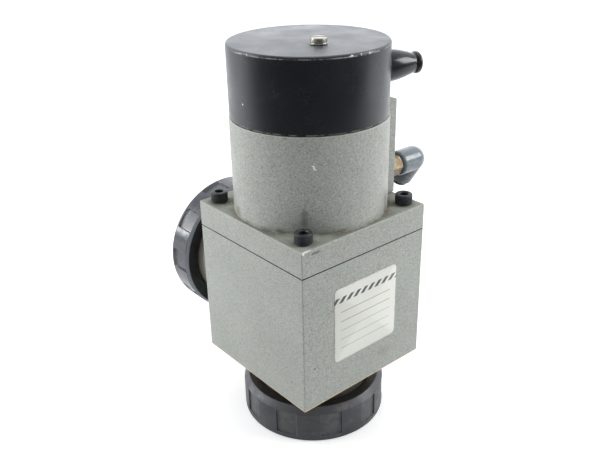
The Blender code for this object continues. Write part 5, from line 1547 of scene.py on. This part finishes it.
def make_valve_disc():
    """What the ports show of the moving parts: the disc, its seal ring and the stem."""
    low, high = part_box("valve_disc")
    far = (high.x - low.x) / 2
    hole_r, groove_in, groove_out = 4.3 * MM, 20.1 * MM, 24.1 * MM
    groove_top = low.z + 2.0 * MM
    points = [
        (hole_r, high.z),
        (far, high.z, 0.5 * MM),
        (far, low.z, 0.5 * MM),
        (groove_out, low.z),
        (groove_out, groove_top),
        (groove_in, groove_top),
        (groove_in, low.z),
        (hole_r, low.z),
    ]
    disc = link("dressed_disc", moved(turned("disc", points, 128, 0.15 * MM)), BORED_METAL)
    stands_for(disc, "valve_train", "bare_aluminium", "valve_disc")
    low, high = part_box("disc_seal")
    inner, outer = 20.4 * MM, 23.8 * MM
    points = [(inner, high.z), (outer, high.z), (outer, low.z, 0.6 * MM), (inner, low.z, 0.6 * MM)]
    ring = turned("disc_seal", points, 128, 0.2 * MM)
    seal = link("dressed_disc_seal", moved(ring), SEAL_RUBBER)
    stands_for(seal, "valve_train", "seal_rubber", "disc_seal")
    low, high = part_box("valve_stem")
    disc_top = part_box("valve_disc")[1].z + GAP
    piston_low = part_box("piston")[0].z - GAP
    end_r, stem_r = 4.0 * MM, 5.0 * MM
    points = [
        (0, high.z),
        (end_r, high.z, 0.6 * MM),
        (end_r, piston_low),
        (stem_r, piston_low),
        (stem_r, disc_top),
        (end_r, disc_top),
        (end_r, low.z, 0.6 * MM),
        (0, low.z),
    ]
    stem = link("dressed_stem", moved(turned("stem", points, 64, 0.15 * MM)), TURNED_STEEL)
    stands_for(stem, "valve_train", "plain_steel", "valve_stem")


def make_spring(node, body, wire_r):
    """Coil spring with flattened ends."""
    low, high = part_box(node)
    middle = (low + high) / 2
    coil_r = (high.x - low.x) / 2 - wire_r
    bottom, top = low.z + wire_r, high.z - wire_r
    count = int(SPRING_TURNS * SPRING_STEPS)

    def path(i):
        share = i / count
        angle = 2 * pi * SPRING_TURNS * share
        rise = share - SPRING_END_FLATTENING * sin(2 * pi * share) / (2 * pi)
        reach = Vector((coil_r * cos(angle), coil_r * sin(angle), 0))
        return Vector((middle.x, middle.y, bottom + (top - bottom) * rise)) + reach

    rings = [[path(0)]]
    for i in range(count + 1):
        here = path(i)
        along = (path(i + 1) - path(i - 1)).normalized()
        outward = Vector((here.x - middle.x, here.y - middle.y, 0)).normalized()
        across = along.cross(outward)
        outward = across.cross(along)
        around = [2 * pi * k / 12 for k in range(12)]
        rings.append([here + (outward * cos(turn) + across * sin(turn)) * wire_r for turn in around])
    rings.append([path(count)])
    spring = link("dressed_" + node, skin(node, rings, False), PLAIN_STEEL)
    stands_for(spring, body, "plain_steel", node, angle=50)
    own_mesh(spring)


NODE_FINISHES = {
    "bonnet_seal": SEAL_RUBBER,
    "stem_bush": BRONZE,
    "stem_seal": SEAL_RUBBER,
    "cylinder_head": BORED_METAL,
    "head_seal": SEAL_RUBBER,
    "head_circlip": PLAIN_STEEL,
    "cover_pillar": PLAIN_STEEL,
    "pilot_valve_body": BRASS,
    "solenoid_coil": COIL_RESIN,
    "core_tube": TURNED_STEEL,
    "core_nut": PLAIN_STEEL,
    "terminal_block": TERMINAL_PLASTIC,
    "disc_nut": PLAIN_STEEL,
    "piston": BORED_METAL,
    "piston_seal": SEAL_RUBBER,
    "piston_nut": PLAIN_STEEL,
    "pilot_plunger": TURNED_STEEL,
}


def dress_inner_nodes():
    """The pieces inside keep their solids and get their finishes."""
    for node, finish in NODE_FINISHES.items():
        for slot in cad_nodes[node].material_slots:
            slot.material = finish


# The order of these calls is the order of the pieces
make_spring("return_spring", "valve_train", RETURN_SPRING_WIRE_R)
make_spring("plunger_spring", "pilot_armature", PLUNGER_SPRING_WIRE_R)
make_block()
make_bonnet()
make_cover()
make_boot()
make_cover_screw()
make_bonnet_screws()
make_neck(
    "dressed_lower_neck", "bottom_port_neck", PORT_Z - block_low.z, OUT_OF_LOWER_PORT, LOWER_NECK_SHADED_METAL
)
make_neck("dressed_side_neck", "side_port_neck", BLOCK_HALF, OUT_OF_SIDE_PORT, SIDE_NECK_METAL)
for name, node, body, end, turn, sizes, finish in (
    ("lower", "bottom_ring_nut", "lower_nut", PORT_Z, OUT_OF_LOWER_PORT, LOWER_NUT, LOWER_NUT_PLASTIC),
    ("side", "side_ring_nut", "side_nut", SIDE_NUT_END, OUT_OF_SIDE_PORT, SIDE_NUT, SIDE_NUT_PLASTIC),
):
    make_ring_nut(f"dressed_{name}_nut", node, body, end, turn, sizes, finish)
make_side_plate()
make_side_screws()
make_fitting()
make_elbow()
make_collet()
make_label()
make_valve_disc()
dress_inner_nodes()


# Floor, backdrop and light

def make_floor():
    """Pale floor that reads as white to the camera and keeps the valve's soft shadow. In reflections it is
    darkened in front of the valve, a painted shade.
    """
    shape = bmesh.new()
    bmesh.ops.create_grid(shape, x_segments=8, y_segments=8, size=6.0)
    mesh = bpy.data.meshes.new("floor")
    shape.to_mesh(mesh)
    shape.free()
    made, tree, shader = new_finish("pale_floor", 0.6, specular=0.25)
    grain = cloudy(tree, 40.0, 4.0, 0.55, 0.3, 0.7, 0.985, 1.0)
    colour = scaled(tree, (0.86, 0.862, 0.866), grain)
    rays = add(tree, "ShaderNodeLightPath").outputs
    from_valve = vector_maths(tree, "SUBTRACT", own_place(tree), tuple(AXIS))
    ahead = vector_maths(tree, "DOT_PRODUCT", from_valve, FRONT_OF_VALVE)
    # Painted shade: in reflections the floor is darker in front of the valve, in colour and in glow.
    near = ramp_between(tree, ahead, -0.10, 0.30, 1.0, 0.12)
    tone = mixed(tree, rays["Is Glossy Ray"], 1.0, near)
    tree.links.new(scaled(tree, colour, tone), shader.inputs["Base Color"])
    seen = maths(tree, "MAXIMUM", rays["Is Camera Ray"], rays["Is Transmission Ray"])
    seen = maths(tree, "MAXIMUM", seen, product(tree, rays["Is Glossy Ray"], near))
    tree.links.new(product(tree, seen, 0.38), shader.inputs["Emission Strength"])
    shader.inputs["Emission Color"].default_value = (1, 1, 1, 1)
    floor = link("floor", mesh, made)
    floor.location = (0, 0, -0.02 * MM)


def make_world():
    """White room: white to look at, and as light dim in front of the valve and bright behind it."""
    world = bpy.data.worlds.new("white_room")
    bpy.context.scene.world = world
    world.use_nodes = True
    tree = world.node_tree
    background = tree.nodes["Background"]
    rays = add(tree, "ShaderNodeLightPath").outputs
    seen = maths(tree, "MAXIMUM", rays["Is Camera Ray"], rays["Is Transmission Ray"])
    way = add(tree, "ShaderNodeTexCoord").outputs["Generated"]
    ahead = vector_maths(tree, "DOT_PRODUCT", way, FRONT_OF_VALVE)
    behind = maths(tree, "POWER", maths(tree, "MULTIPLY_ADD", ahead, -0.526, 0.5, clamp=True), 1.5)
    mirrored = maths(tree, "MULTIPLY_ADD", behind, 1.7, 0.2)
    shone = maths(tree, "MULTIPLY_ADD", behind, 1.7, 0.12)
    strength = mixed(tree, rays["Is Glossy Ray"], shone, mirrored)
    tree.links.new(mixed(tree, seen, strength, 1.0), background.inputs["Strength"])
    tree.links.new(blend(tree, seen, (0.955, 0.985, 1.03), (1.0, 1.0, 1.0)), background.inputs["Color"])


def add_lamp(name, at, size, power, colour):
    """A soft square lamp aimed at the middle of the valve."""
    data = bpy.data.lights.new(name, "AREA")
    data.shape = "SQUARE"
    data.size = size
    data.energy = power
    data.color = colour
    lamp = bpy.data.objects.new(name, data)
    bpy.context.scene.collection.objects.link(lamp)
    lamp.location = at
    aim = AXIS + UP * 0.1 - Vector(at)
    lamp.rotation_mode = "QUATERNION"
    lamp.rotation_quaternion = aim.to_track_quat("-Z", "Y")


def light_scene():
    """Two lamps on the left, one on the right and one above."""
    add_lamp("left_soft_lamp", (-0.66, -0.70, 0.56), 0.6, 5.6, (0.98, 0.99, 1.0))
    add_lamp("left_small_lamp", (-0.94, -0.69, 0.22), 0.15, 1.0, (0.98, 0.99, 1.0))
    add_lamp("right_soft_lamp", (0.68, 0.72, 0.6), 0.5, 6.2, (0.98, 0.99, 1.0))
    add_lamp("top_soft_lamp", (0.1, 0.1, 1.2), 0.8, 1.2, (0.97, 0.985, 1.0))


make_floor()
make_world()
light_scene()

scene = bpy.context.scene
scene.view_settings.view_transform = "Standard"
